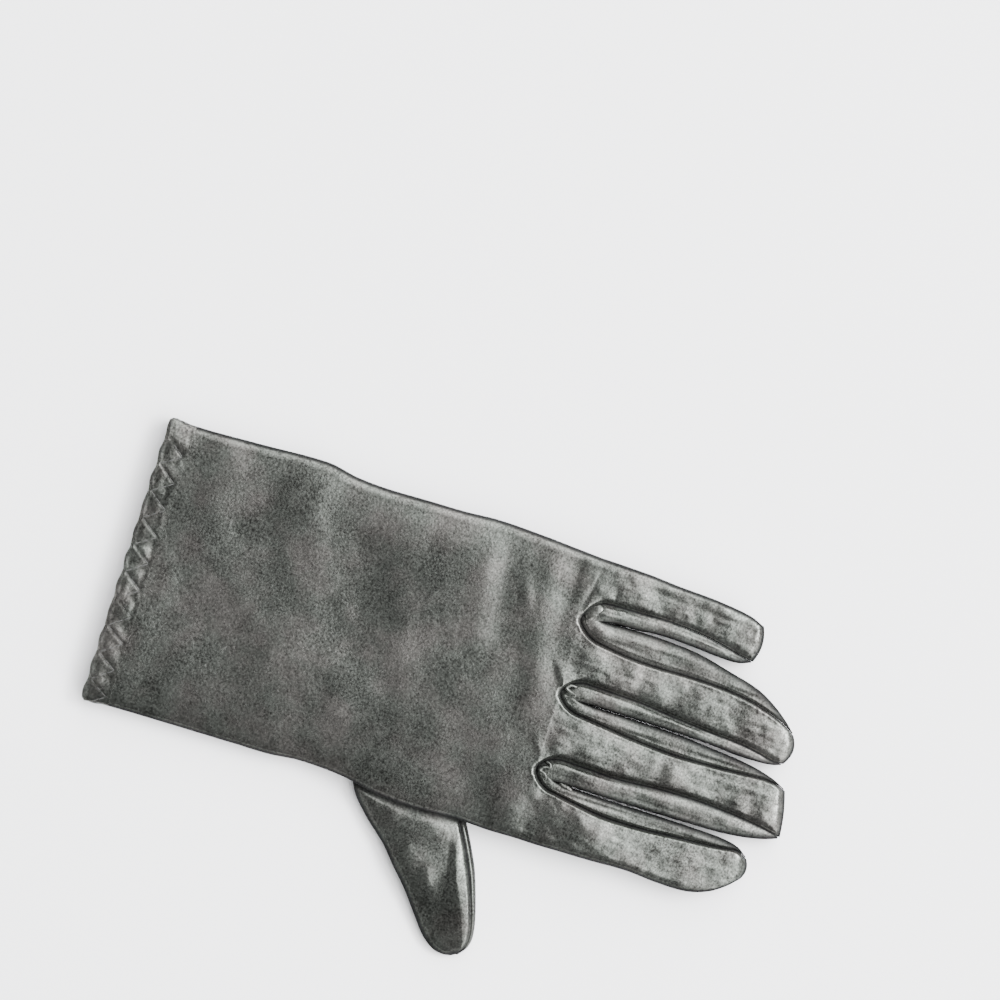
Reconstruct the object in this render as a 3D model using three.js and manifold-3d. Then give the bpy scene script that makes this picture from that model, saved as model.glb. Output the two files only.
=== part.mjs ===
// A wrist-length dress glove for the left hand, relaxed and empty, lying on its palm with the thumb tucked under
// the edge of the hand. It is cut and sewn from thin coated stretch cloth: a back panel and a palm panel, six
// fourchettes, which are the strips that face the next finger, a thumb and a turned hem. Every piece is a real wall
// of cloth, all round one hollow that is open at the wrist, and neighbouring pieces keep a seam's width apart.
//
// Millimetres. +X points to the thumb side, +Y from the wrist to the fingertips, +Z up out of the back of the hand.
// The origin lies on the surface that the glove rests on, under the middle of the palm.

import * as THREE from "three";
import { mergeVertices } from "three/addons/utils/BufferGeometryUtils.js";
import Module from "manifold-3d";

const wasm = await Module();
wasm.setup();

// Sizes of the hand
const HAND_LENGTH = 145; // wrist edge to the line where the fingers part
const LITTLE_WIDTH = 19.2;
const LITTLE_LENGTH = 57;
const RING_WIDTH = 26;
const RING_LENGTH = 76.7;
const MIDDLE_WIDTH = 26.2;
const MIDDLE_LENGTH = 80;
const INDEX_WIDTH = 20.8;
const INDEX_LENGTH = 74;
const FINGER_GAP = 0.6; // air between two neighbouring fingers
const ORIGIN_FROM_WRIST = 75;

// Sizes of the cloth and its seams
const CLOTH = 1; // one layer
const HEM_CLOTH = 1.8; // the turned hem, two layers
const SEAM_GAP = 0.3;
const HEM_WIDTH = 9;
const HEM_STITCHES = 22; // zigzags round the whole wrist
const HEM_PUCKER = 0.5; // how deep the zigzag stitching pulls the hem in

// Heights above the surface that the glove lies on
const CUFF_LOFT = 9;
const PALM_LOFT = 10.5;
const FINGER_LOFT = 9.5;
const SIDE_SEAM_HEIGHT = 4.4; // where the back panel meets the palm panel
const BACK_LIP = 8.7; // the back panel beside a fourchette, before it rolls into the seam
const BACK_SEAM_HEIGHT = 7.3;
const PALM_SEAM_HEIGHT = 1.5;
const FOURCHETTE_TOP = 8.3;
const FOURCHETTE_BOTTOM = 0.5;

// Widths of the bends
const SEAM_ROLL = 1.8; // how far from a seam the cloth starts to roll down into it
const EDGE_ROLL = 6; // the bend from the flat palm up to the side of the hand
const WEB_REACH = 7; // from a fork in the back panel to the web between the two fingers
const KNUCKLE_BLEND = 22; // length over which the flat hand turns into round fingers

// The thumb
const THUMB_WIDTH = 28;
const THUMB_LENGTH = 50.5; // what shows beyond the edge of the hand
const THUMB_ROOT = 22; // what is tucked under the hand
const THUMB_LOFT = 7;
const THUMB_LEAN = 31; // degrees from straight sideways towards the fingertips
const THUMB_AT = 0.76; // where its line crosses the edge of the hand, as a share of the hand's length
const BACK_LIFT = 0.7; // how much of the palm's lift over the thumb reaches the back of the hand
const LIFT_START = 5; // how far from the thumb's root, under the hand, the palm starts to rise over it
const LIFT_RUN = 22; // length over which it rises
const LIFT_SIDE = 0.55; // half the width that is fully lifted, as a share of the thumb's width
const LIFT_REACH = 1.15; // half the width that is lifted at all, as a share of the thumb's width

// How the crowns are rounded: 2 is an ellipse, more is flatter with tighter edges
const BACK_ROUNDNESS = 2.6;
const THUMB_ROUNDNESS = 2.4;
const THUMB_SOLE_FLATNESS = 4;
const TIP_ROUNDNESS = 2.2;

// The outline of the hand: at is a share of the hand's length, left and right are shares of its width
const HAND_OUTLINE = [
  { at: 0, left: -0.51, right: 0.499 },
  { at: 0.062, left: -0.503, right: 0.493 },
  { at: 0.2, left: -0.512, right: 0.488 },
  { at: 0.36, left: -0.524, right: 0.484 },
  { at: 0.43, left: -0.506, right: 0.482 },
  { at: 0.5, left: -0.5, right: 0.471 },
  { at: 0.6, left: -0.504, right: 0.476 },
  { at: 0.68, left: -0.507, right: 0.496 },
  { at: 0.76, left: -0.515, right: 0.503 },
  { at: 0.87, left: -0.51, right: 0.495 },
  { at: 0.945, left: -0.503, right: 0.499 },
  { at: 1, left: -0.498, right: 0.497 },
];

// Where neighbouring fingers part: aside is a share of the hand's width from the line between the two fingers, and
// at is a share of the hand's length
const FORKS = [
  { aside: 0.013, at: 0.994 },
  { aside: -0.012, at: 1.001 },
  { aside: -0.028, at: 1.001 },
];

// The fingers from the little finger to the index finger. In sections, at is a share of the finger's length, and the
// others are shares of its width from its centre line: the folds of the fourchettes are the finger's outline, and the
// seams are the edges of its back and palm panels. The outer sides of the little and index fingers have no
// fourchette: there the two panels meet.
const FINGERS = [
  {
    name: "little",
    width: LITTLE_WIDTH,
    length: LITTLE_LENGTH,
    tipRound: 0.07,
    tipSlope: 0,
    sections: [
      { at: 0, seamLeft: -0.49, seamRight: 0.3, foldRight: 0.49 },
      { at: 0.1, seamLeft: -0.487, seamRight: 0.215, foldRight: 0.492 },
      { at: 0.3, seamLeft: -0.469, seamRight: 0.193, foldRight: 0.474 },
      { at: 0.45, seamLeft: -0.436, seamRight: 0.177, foldRight: 0.436 },
      { at: 0.65, seamLeft: -0.411, seamRight: 0.214, foldRight: 0.46 },
      { at: 0.8, seamLeft: -0.37, seamRight: 0.29, foldRight: 0.49 },
      { at: 0.92, seamLeft: -0.315, seamRight: 0.36, foldRight: 0.48 },
      { at: 1, seamLeft: -0.225, seamRight: 0.385, foldRight: 0.4 },
    ],
  },
  {
    name: "ring",
    width: RING_WIDTH,
    length: RING_LENGTH,
    tipRound: 0.065,
    tipSlope: 0.008,
    sections: [
      { at: 0, foldLeft: -0.49, seamLeft: -0.27, seamRight: 0.27, foldRight: 0.49 },
      { at: 0.1, foldLeft: -0.495, seamLeft: -0.242, seamRight: 0.277, foldRight: 0.49 },
      { at: 0.2, foldLeft: -0.488, seamLeft: -0.2, seamRight: 0.285, foldRight: 0.481 },
      { at: 0.33, foldLeft: -0.495, seamLeft: -0.181, seamRight: 0.296, foldRight: 0.481 },
      { at: 0.5, foldLeft: -0.473, seamLeft: -0.192, seamRight: 0.345, foldRight: 0.496 },
      { at: 0.65, foldLeft: -0.404, seamLeft: -0.181, seamRight: 0.381, foldRight: 0.52 },
      { at: 0.78, foldLeft: -0.308, seamLeft: -0.131, seamRight: 0.404, foldRight: 0.545 },
      { at: 0.88, foldLeft: -0.169, seamLeft: -0.055, seamRight: 0.446, foldRight: 0.546 },
      { at: 0.95, foldLeft: -0.035, seamLeft: 0.018, seamRight: 0.483, foldRight: 0.53 },
      { at: 1, foldLeft: 0.092, seamLeft: 0.105, seamRight: 0.475, foldRight: 0.488 },
    ],
  },
  {
    name: "middle",
    width: MIDDLE_WIDTH,
    length: MIDDLE_LENGTH,
    tipRound: 0.02,
    tipSlope: -0.055,
    sections: [
      { at: 0, foldLeft: -0.49, seamLeft: -0.37, seamRight: 0.22, foldRight: 0.47 },
      { at: 0.1, foldLeft: -0.49, seamLeft: -0.355, seamRight: 0.229, foldRight: 0.473 },
      { at: 0.2, foldLeft: -0.495, seamLeft: -0.324, seamRight: 0.237, foldRight: 0.49 },
      { at: 0.32, foldLeft: -0.495, seamLeft: -0.282, seamRight: 0.245, foldRight: 0.49 },
      { at: 0.5, foldLeft: -0.478, seamLeft: -0.248, seamRight: 0.205, foldRight: 0.477 },
      { at: 0.65, foldLeft: -0.45, seamLeft: -0.26, seamRight: 0.198, foldRight: 0.485 },
      { at: 0.78, foldLeft: -0.427, seamLeft: -0.282, seamRight: 0.218, foldRight: 0.48 },
      { at: 0.88, foldLeft: -0.378, seamLeft: -0.302, seamRight: 0.252, foldRight: 0.443 },
      { at: 0.95, foldLeft: -0.322, seamLeft: -0.29, seamRight: 0.286, foldRight: 0.389 },
      { at: 1, foldLeft: -0.25, seamLeft: -0.24, seamRight: 0.315, foldRight: 0.33 },
    ],
  },
  {
    name: "index",
    width: INDEX_WIDTH,
    length: INDEX_LENGTH,
    tipRound: 0.05,
    tipSlope: 0,
    sections: [
      { at: 0, foldLeft: -0.5, seamLeft: -0.38, seamRight: 0.486 },
      { at: 0.1, foldLeft: -0.5, seamLeft: -0.361, seamRight: 0.486 },
      { at: 0.2, foldLeft: -0.5, seamLeft: -0.303, seamRight: 0.476 },
      { at: 0.33, foldLeft: -0.495, seamLeft: -0.24, seamRight: 0.466 },
      { at: 0.5, foldLeft: -0.498, seamLeft: -0.24, seamRight: 0.442 },
      { at: 0.65, foldLeft: -0.498, seamLeft: -0.279, seamRight: 0.476 },
      { at: 0.78, foldLeft: -0.49, seamLeft: -0.308, seamRight: 0.465 },
      { at: 0.88, foldLeft: -0.471, seamLeft: -0.341, seamRight: 0.36 },
      { at: 0.95, foldLeft: -0.418, seamLeft: -0.365, seamRight: 0.2 },
      { at: 1, foldLeft: -0.3, seamLeft: -0.285, seamRight: 0.03 },
    ],
  },
];

// The thumb from its root under the hand to its tip: at is a share of its length beyond the edge of the hand, low
// and high are shares of its width on the wrist side and the finger side, and loft is a share of its own height
const THUMB_SECTIONS = [
  { at: -0.44, low: -0.2, high: 0.32, loft: 1 },
  { at: -0.41, low: -0.36, high: 0.46, loft: 1 },
  { at: -0.34, low: -0.5, high: 0.55, loft: 1 },
  { at: -0.18, low: -0.58, high: 0.58, loft: 1 },
  { at: 0, low: -0.52, high: 0.58, loft: 1 },
  { at: 0.2, low: -0.4, high: 0.58, loft: 1 },
  { at: 0.34, low: -0.37, high: 0.57, loft: 1 },
  { at: 0.5, low: -0.31, high: 0.55, loft: 1 },
  { at: 0.7, low: -0.26, high: 0.49, loft: 0.97 },
  { at: 0.83, low: -0.225, high: 0.43, loft: 0.92 },
  { at: 0.93, low: -0.14, high: 0.36, loft: 0.78 },
  { at: 0.98, low: -0.04, high: 0.27, loft: 0.6 },
  { at: 1, low: 0.06, high: 0.17, loft: 0.42 },
];

// Soft folds and dents in the back: aside and long are shares of the hand's width from its centre line, at and wide
// are shares of the hand's length from the wrist, rise is a share of the palm's height, and turn is in degrees
const BACK_FOLDS = [
  { aside: -0.25, at: 0.795, long: 0.2, wide: 0.028, rise: 0.085, turn: 6 },
  { aside: -0.2, at: 0.875, long: 0.24, wide: 0.022, rise: -0.085, turn: 12 },
  { aside: -0.22, at: 0.94, long: 0.26, wide: 0.026, rise: 0.075, turn: 5 },
  { aside: -0.42, at: 0.39, long: 0.1, wide: 0.022, rise: 0.08, turn: -4 },
  { aside: -0.36, at: 0.49, long: 0.12, wide: 0.05, rise: -0.07, turn: 10 },
  { aside: -0.38, at: 0.31, long: 0.13, wide: 0.06, rise: -0.07, turn: -14 },
  { aside: -0.33, at: 0.6, long: 0.16, wide: 0.022, rise: 0.04, turn: 8 },
  { aside: 0.34, at: 1.07, long: 0.07, wide: 0.035, rise: -0.06, turn: 0 },
  { aside: -0.14, at: 1.285, long: 0.06, wide: 0.022, rise: -0.07, turn: 4 },
  { aside: 0.37, at: 1.3, long: 0.035, wide: 0.018, rise: -0.07, turn: 0 },
  { aside: 0.11, at: 1.26, long: 0.05, wide: 0.03, rise: -0.05, turn: 0 },
];

// Where the cloth is divided into facets: rows as shares of a length, columns as shares of half a width, from -1
const PALM_ROWS = [0, 0.12, 0.24, 0.34, 0.43, 0.52, 0.6, 0.68, 0.76, 0.83, 0.9, 0.96, 1];
const FINGER_ROWS = [0, 0.03, 0.07, 0.13, 0.21, 0.32, 0.45, 0.6, 0.74, 0.85, 0.92, 0.96, 0.985, 1];
const FOURCHETTE_ROWS = FINGER_ROWS.length - 1; // the last row of a finger is closed by its two panels alone
const INNER_COLUMNS = [-1, -0.9, -0.55, 0, 0.55, 0.9, 1];
const LEFT_COLUMNS = [-1, -0.96, -0.84, -0.6, -0.2, 0.3, 0.75, 0.93, 1];
const RIGHT_COLUMNS = LEFT_COLUMNS.map((t) => -t).reverse();
const STRIP_COLUMNS = [LEFT_COLUMNS, INNER_COLUMNS, INNER_COLUMNS, RIGHT_COLUMNS];
const FOURCHETTE_COLUMNS = [-1, -0.87, -0.5, 0, 0.5, 0.87, 1]; // back seam, fold, palm seam
const HEM_ROWS = [0, 0.17, 0.5, 0.83, 1];
const HEM_INNER_ROWS = [0, 0.5, 1];
const THUMB_FACETS = 20;

// Sizes that follow from the others
const GAPS_BETWEEN_FINGERS = FINGERS.length - 1;
const HAND_WIDTH = FINGERS.reduce((sum, finger) => sum + finger.width, 0) + GAPS_BETWEEN_FINGERS * FINGER_GAP;
const PANEL_START = HEM_WIDTH + SEAM_GAP;
const BACK_EDGE = SIDE_SEAM_HEIGHT + SEAM_GAP / 2;
const PALM_EDGE = SIDE_SEAM_HEIGHT - SEAM_GAP / 2;
const THUMB_LIFT = THUMB_LOFT + 2 * SEAM_GAP; // how far the thumb holds the palm off the surface
const MERGE = 1e-4;

// Numbers and curves

const lerp = (from, to, share) => from + (to - from) * share;

const clamp = (value) => Math.min(Math.max(value, 0), 1);

function smooth(from, to, value) {
  const share = clamp((value - from) / (to - from));
  return share * share * (3 - 2 * share);
}

// A quarter of a rounded outline: 1 at the middle and 0 at the edge, where it falls straight down.
const roundedFall = (share, roundness) => Math.pow(Math.max(1 - Math.pow(clamp(share), roundness), 0), 1 / roundness);

// A smooth curve through one column of a table, as a function of the column named at.
function columnCurve(rows, column) {
  const last = rows.length - 1;
  const slope = (i) => {
    const before = rows[Math.max(i - 1, 0)];
    const after = rows[Math.min(i + 1, last)];
    return (after[column] - before[column]) / (after.at - before.at);
  };
  return (at) => {
    if (at <= rows[0].at) return rows[0][column];
    if (at >= rows[last].at) return rows[last][column];
    const i = rows.findIndex((row) => row.at > at) - 1;
    const span = rows[i + 1].at - rows[i].at;
    const u = (at - rows[i].at) / span;
    const pull = u * (1 - u) * span;
    const straight = lerp(rows[i][column], rows[i + 1][column], u * u * (3 - 2 * u));
    return straight + pull * ((1 - u) * slope(i) - u * slope(i + 1));
  };
}

// The hand seen from above

const outline = {
  left: columnCurve(HAND_OUTLINE, "left"),
  right: columnCurve(HAND_OUTLINE, "right"),
};
const handLeft = (y) => HAND_WIDTH * outline.left(y / HAND_LENGTH);
const handRight = (y) => HAND_WIDTH * outline.right(y / HAND_LENGTH);

// Each finger's own stretch of the hand's width, and the curves of its table.
let reached = -HAND_WIDTH / 2;
const fingers = FINGERS.map((finger, i) => {
  const left = reached;
  const centre = left + finger.width / 2;
  reached = left + finger.width + FINGER_GAP;
  const curve = (column) => columnCurve(finger.sections, column);
  return {
    ...finger,
    left,
    centre,
    seams: [curve("seamLeft"), curve("seamRight")],
    folds: [curve("foldLeft"), curve("foldRight")],
    fourchette: [i > 0, i < FINGERS.length - 1],
  };
});

// The point of the fork between finger i and the next one, and the web beyond it.
const forks = FORKS.map((fork, i) => {
  const between = fingers[i + 1].left - FINGER_GAP / 2;
  const y = fork.at * HAND_LENGTH;
  return { x: between + fork.aside * HAND_WIDTH, y, web: { x: between, y: y + WEB_REACH } };
});

// One edge of a finger's panel, side 0 for the left and 1 for the right. Beside a fourchette it leaves the fork
// sideways, as the bottom of a U does, and reaches the table's curve at its second row.
function fingerEdge(i, side, at) {
  const finger = fingers[i];
  const x = finger.centre + finger.width * finger.seams[side](at);
  const y = HAND_LENGTH + at * finger.length;
  if (!finger.fourchette[side]) return { x, y };
  const fork = forks[i - 1 + side];
  const left = Math.max(1 - at / finger.sections[1].at, 0);
  return { x: lerp(x, fork.x, Math.pow(left, 2.2)), y: y + (fork.y - HAND_LENGTH) * left };
}

// The fold of a fourchette, which is the outline of the finger, from the web between the fingers to the tip.
function fingerFold(i, side, at) {
  const finger = fingers[i];
  const { web } = forks[i - 1 + side];
  const along = lerp((web.y - HAND_LENGTH) / finger.length, 1, at);
  const x = finger.centre + finger.width * finger.folds[side](along);
  const open = smooth(0, 0.1, at);
  return { x: lerp(web.x, x, open), y: HAND_LENGTH + along * finger.length };
}

// Lines from the wrist that divide the hand into one strip for each finger. The outer two are its outline.
function divisionPoint(line, share) {
  const last = fingers.length;
  const outer = line === 0 || line === last;
  const end = outer ? fingerEdge(Math.min(line, last - 1), line ? 1 : 0, 0) : forks[line - 1];
  const y = lerp(PANEL_START, end.y, share);
  if (line === 0) return { x: handLeft(y), y };
  if (line === last) return { x: handRight(y), y };
  return { x: lerp(fingers[line].left, end.x, smooth(0, 1, share)), y };
}

// An edge of strip i at a row that counts through the hand and then along the finger.
const HAND_ROWS = PALM_ROWS.length - 1;
const LAST_ROW = HAND_ROWS + FINGER_ROWS.length - 1;
function stripEdge(i, side, row) {
  if (row < HAND_ROWS) return divisionPoint(i + side, PALM_ROWS[row]);
  return fingerEdge(i, side, FINGER_ROWS[row - HAND_ROWS]);
}

// Heights

// The finger's crown closes over the last part of its length, and its fourchette a little before that.
const crownFall = (at) => roundedFall((at - 0.86) / 0.14, TIP_ROUNDNESS);
const fourchetteFall = (at) => roundedFall((at - 0.8) / 0.192, 2);

// The thumb's own directions: out along its line from the edge of the hand, and across it towards the fingertips.
const thumbRoot = new THREE.Vector2(handRight(THUMB_AT * HAND_LENGTH), THUMB_AT * HAND_LENGTH);
const thumbLine = new THREE.Vector2(1, 0).rotateAround(new THREE.Vector2(), THREE.MathUtils.degToRad(THUMB_LEAN));
const thumbSide = new THREE.Vector2(-thumbLine.y, thumbLine.x);

// How far the tucked thumb lifts the cloth above it.
function thumbLift(x, y) {
  const from = new THREE.Vector2(x, y).sub(thumbRoot);
  const out = from.dot(thumbLine);
  const across = Math.abs(from.dot(thumbSide));
  const start = -THUMB_ROOT - LIFT_START;
  const rises = smooth(start, start + LIFT_RUN, out);
  return THUMB_LIFT * rises * (1 - smooth(LIFT_SIDE * THUMB_WIDTH, LIFT_REACH * THUMB_WIDTH, across));
}

// The folds and dents of the back at one point.
function foldHeight(x, y) {
  let height = 0;
  for (const fold of BACK_FOLDS) {
    const turn = THREE.MathUtils.degToRad(fold.turn);
    const dx = x - fold.aside * HAND_WIDTH;
    const dy = y - fold.at * HAND_LENGTH;
    const along = (dx * Math.cos(turn) + dy * Math.sin(turn)) / (fold.long * HAND_WIDTH);
    const over = (dy * Math.cos(turn) - dx * Math.sin(turn)) / (fold.wide * HAND_LENGTH);
    height += fold.rise * PALM_LOFT * Math.exp(-along * along - over * over);
  }
  return height;
}

// The height of the loft along the hand, and of the back across it.
const handLoft = (y) => lerp(CUFF_LOFT, PALM_LOFT, smooth(0, 0.45 * HAND_LENGTH, y));
function handCrown(x, y) {
  const middle = (handLeft(y) + handRight(y)) / 2;
  const half = (handRight(y) - handLeft(y)) / 2;
  const rise = roundedFall(Math.abs(x - middle) / half, BACK_ROUNDNESS);
  return lerp(BACK_EDGE, handLoft(y), rise);
}

// Across a finger's back: t runs from -1 at its left edge to 1 at its right edge.
function fingerCrown(finger, t) {
  const share = Math.abs(t);
  if (finger.fourchette[t < 0 ? 0 : 1]) return lerp(FINGER_LOFT, BACK_LIP, Math.pow(share, 2.5));
  return lerp(BACK_EDGE, FINGER_LOFT, roundedFall(share, BACK_ROUNDNESS));
}

// How strongly a point is drawn down into a fourchette's seam, from its distance to the nearest seam or fork.
function seamPull(finger, t, width, point, inHand) {
  let distance = Infinity;
  if (inHand) for (const fork of forks) distance = Math.min(distance, Math.hypot(point.x - fork.x, point.y - fork.y));
  else {
    if (finger.fourchette[0]) distance = Math.min(distance, ((1 + t) / 2) * width);
    if (finger.fourchette[1]) distance = Math.min(distance, ((1 - t) / 2) * width);
  }
  return Math.pow(1 - clamp(distance / SEAM_ROLL), 2);
}

// The edge of a piece at height top comes down, or up, to the side seam's height towards the tip.
const edgeHeight = (sideSeam, top, at) => lerp(sideSeam, top, fourchetteFall(at));

function backHeight(finger, t, at, width, point) {
  const inHand = at < 0;
  const reach = Math.max(at, 0);
  const round = lerp(BACK_EDGE, fingerCrown(finger, t), crownFall(reach));
  const knuckles = smooth(HAND_LENGTH - KNUCKLE_BLEND, HAND_LENGTH, point.y);
  const open = inHand ? lerp(handCrown(point.x, point.y), round, knuckles) : round;
  const seamHeight = edgeHeight(BACK_EDGE, BACK_SEAM_HEIGHT, reach);
  const rolled = lerp(open, seamHeight, seamPull(finger, t, width, point, inHand));
  const clearOfEdge = clamp((open - BACK_EDGE) / (FINGER_LOFT - BACK_EDGE));
  const lift = thumbLift(point.x, point.y) * lerp(1, BACK_LIFT, clearOfEdge);
  return rolled + lift + foldHeight(point.x, point.y) * clearOfEdge * crownFall(reach);
}

function palmHeight(finger, t, at, width, point) {
  const inHand = at < 0;
  const reach = Math.max(at, 0);
  let bend = 0;
  if (!finger.fourchette[0]) bend = clamp(1 - ((1 + t) * width) / 2 / EDGE_ROLL);
  if (!finger.fourchette[1]) bend = clamp(1 - ((1 - t) * width) / 2 / EDGE_ROLL);
  const flat = PALM_EDGE * (1 - Math.sqrt(1 - bend * bend));
  const open = lerp(PALM_EDGE, flat, crownFall(reach));
  const seamHeight = edgeHeight(PALM_EDGE, PALM_SEAM_HEIGHT, reach);
  const rolled = lerp(open, seamHeight, seamPull(finger, t, width, point, inHand));
  return rolled + thumbLift(point.x, point.y);
}

// Sheets of cloth

// One face of a panel as loose triangles, strip by strip.
function panelFace(height) {
  const corners = [];
  const point = (i, column, row) => {
    const finger = fingers[i];
    const t = STRIP_COLUMNS[i][column];
    const left = stripEdge(i, 0, row);
    const right = stripEdge(i, 1, row);
    const at = row < HAND_ROWS ? -1 : FINGER_ROWS[row - HAND_ROWS];
    const tip = smooth(0.75, 1, at) * finger.width * (finger.tipRound * t * t + finger.tipSlope * t);
    const spot = { x: lerp(left.x, right.x, (1 + t) / 2), y: lerp(left.y, right.y, (1 + t) / 2) - tip };
    return [spot.x, spot.y, height(finger, t, at, right.x - left.x, spot)];
  };
  for (let i = 0; i < fingers.length; i += 1)
    for (let row = 0; row < LAST_ROW; row += 1)
      for (let column = 0; column < STRIP_COLUMNS[i].length - 1; column += 1) {
        const [a, b] = [point(i, column, row), point(i, column + 1, row)];
        const [c, d] = [point(i, column + 1, row + 1), point(i, column, row + 1)];
        corners.push(a, b, c, a, c, d);
      }
  return corners;
}

// Turns loose triangles into an indexed surface whose shared corners are merged.
function surfaceOf(corners, flip) {
  const loose = new THREE.BufferGeometry();
  loose.setAttribute("position", new THREE.Float32BufferAttribute(corners.flat(), 3));
  const merged = mergeVertices(loose, MERGE);
  const index = [];
  for (let i = 0; i < merged.index.count; i += 3) {
    const face = [0, 1, 2].map((k) => merged.index.getX(i + k));
    if (new Set(face).size === 3) index.push(...(flip ? face.reverse() : face));
  }
  merged.setIndex(index);
  merged.computeVertexNormals();
  return merged;
}

// The directed edges of a surface that only one face uses.
function rimOf(index) {
  const seen = new Map();
  for (let i = 0; i < index.length; i += 3)
    for (let k = 0; k < 3; k += 1) {
      const [from, to] = [index[i + k], index[i + ((k + 1) % 3)]];
      seen.set(`${from} ${to}`, [from, to]);
    }
  return [...seen.values()].filter(([from, to]) => !seen.has(`${to} ${from}`));
}

// At each point of a rim, the level direction that leads from the rim into the sheet.
function inwardFrom(rim, surface) {
  const { position, normal } = surface.attributes;
  const inward = new Map();
  for (const [from, to] of rim) {
    const [a, b] = [from, to].map((i) => new THREE.Vector3().fromBufferAttribute(position, i));
    const facing = Math.sign(normal.getZ(from) + normal.getZ(to));
    const lead = new THREE.Vector3(0, 0, facing).cross(b.sub(a)).normalize();
    for (const i of [from, to]) inward.set(i, (inward.get(i) ?? new THREE.Vector3()).add(lead).normalize());
  }
  return inward;
}

// A closed wall of cloth: the face as given, a second face behind it, and a rim. behind says where a point of the
// second face lies, from the point, its normal and, on the rim only, the level direction into the sheet.
function clothWall(surface, behind) {
  const face = Array.from(surface.index.array);
  const rim = rimOf(face);
  const inward = inwardFrom(rim, surface);
  const { position, normal } = surface.attributes;
  const count = position.count;
  const points = Array.from(position.array);
  for (let i = 0; i < count; i += 1) {
    const at = new THREE.Vector3().fromBufferAttribute(position, i);
    const out = new THREE.Vector3().fromBufferAttribute(normal, i);
    points.push(...behind(at, out, inward.get(i)).toArray());
  }
  const index = [...face];
  for (let i = 0; i < face.length; i += 3) index.push(face[i] + count, face[i + 2] + count, face[i + 1] + count);
  for (const [from, to] of rim) index.push(to, from, from + count, to, from + count, to + count);
  const wall = new THREE.BufferGeometry();
  wall.setAttribute("position", new THREE.Float32BufferAttribute(points, 3));
  wall.setIndex(index);
  return wall;
}

// Behind by the cloth's thickness. A seam's rim keeps its height, so that its two edges face each other squarely, and
// the rim at the wrist keeps its place along the hand.
function insideBy(thickness) {
  return (at, out, inward) => {
    const inner = at.clone().addScaledVector(out, -thickness);
    if (!inward) return inner;
    if (Math.abs(at.y - PANEL_START) > MERGE) return at.clone().addScaledVector(inward, thickness);
    const besideSeam = Math.abs(at.z - SIDE_SEAM_HEIGHT) < SEAM_GAP;
    return besideSeam ? at.clone().setX(at.x + Math.sign(inward.x) * thickness) : inner.setY(at.y);
  };
}

// The solids

const backPanel = () => clothWall(surfaceOf(panelFace(backHeight), false), insideBy(CLOTH));

const palmFace = surfaceOf(panelFace(palmHeight), true);
const palmPanel = () => clothWall(palmFace, insideBy(CLOTH));

// Everything above the underside of the palm, less the gap of the seam that joins the thumb to it.
function spaceOverPalm() {
  const ceiling = 8 * PALM_LOFT;
  const lowered = palmFace.clone().translate(0, 0, -SEAM_GAP);
  lowered.computeVertexNormals();
  return clothWall(lowered, (at) => new THREE.Vector3(at.x, at.y, ceiling));
}

// A fourchette along one side of a finger: from the seam of the back panel out to its fold and in to the seam of the
// palm panel. Its first row is the joint with the fourchette of the next finger, in a plane through fork and web.
function fourchette(i, side) {
  const fork = forks[i - 1 + side];
  const joint = new THREE.Vector3(fork.web.x - fork.x, fork.web.y - fork.y, 0).normalize();
  const own = side === 0 ? 1 : -1;
  const fromJoint = new THREE.Vector3(joint.y, -joint.x, 0).multiplyScalar((own * SEAM_GAP) / 2);
  const point = (row, v) => {
    const at = FINGER_ROWS[row];
    const seam = fingerEdge(i, side, at);
    const fold = fingerFold(i, side, at);
    const across = new THREE.Vector2(fold.x - seam.x, fold.y - seam.y);
    const away = across.clone().setLength(Math.min(SEAM_GAP, 0.4 * across.length()));
    const out = Math.cos((v * Math.PI) / 2);
    const up = v < 0;
    const crest = edgeHeight(SIDE_SEAM_HEIGHT, up ? FOURCHETTE_TOP : FOURCHETTE_BOTTOM, at);
    const edge = edgeHeight(SIDE_SEAM_HEIGHT, up ? BACK_SEAM_HEIGHT : PALM_SEAM_HEIGHT, at);
    const bulge = lerp(SIDE_SEAM_HEIGHT, crest, Math.sin((Math.abs(v) * Math.PI) / 2));
    const spot = new THREE.Vector3(
      lerp(seam.x + away.x, fold.x, out),
      lerp(seam.y + away.y, fold.y, out),
      lerp(bulge, edge, Math.pow(clamp((Math.abs(v) - 0.82) / 0.18), 2)),
    );
    return (row === 0 ? spot.add(fromJoint) : spot).toArray();
  };
  const corners = [];
  for (let row = 0; row < FOURCHETTE_ROWS - 1; row += 1)
    for (let column = 0; column < FOURCHETTE_COLUMNS.length - 1; column += 1) {
      const [v, w] = [FOURCHETTE_COLUMNS[column], FOURCHETTE_COLUMNS[column + 1]];
      const [a, b, c, d] = [point(row, v), point(row, w), point(row + 1, w), point(row + 1, v)];
      corners.push(a, b, c, a, c, d);
    }
  const face = surfaceOf(corners, side === 0);
  const jointPoint = new THREE.Vector3(fork.x, fork.y, 0).add(fromJoint);
  return clothWall(face, (at, out, inward) => {
    const share = clamp((at.y - HAND_LENGTH) / fingers[i].length);
    const width = Math.abs(fingerFold(i, side, share).x - fingerEdge(i, side, share).x);
    const height = (FOURCHETTE_TOP - SIDE_SEAM_HEIGHT) * fourchetteFall(share);
    const wall = Math.min(CLOTH, 0.5 * height, Math.max(0.45 * width, SEAM_GAP));
    if (inward && Math.abs(at.z - SIDE_SEAM_HEIGHT) > 0.6 * height) return at.clone().addScaledVector(inward, wall);
    const step = out.clone().multiplyScalar(-wall);
    const offJoint = Math.abs(at.clone().sub(jointPoint).dot(fromJoint)) / fromJoint.length();
    if (inward && offJoint < 0.01) step.addScaledVector(fromJoint, -step.dot(fromJoint) / fromJoint.lengthSq());
    return step.add(at);
  });
}

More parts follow.
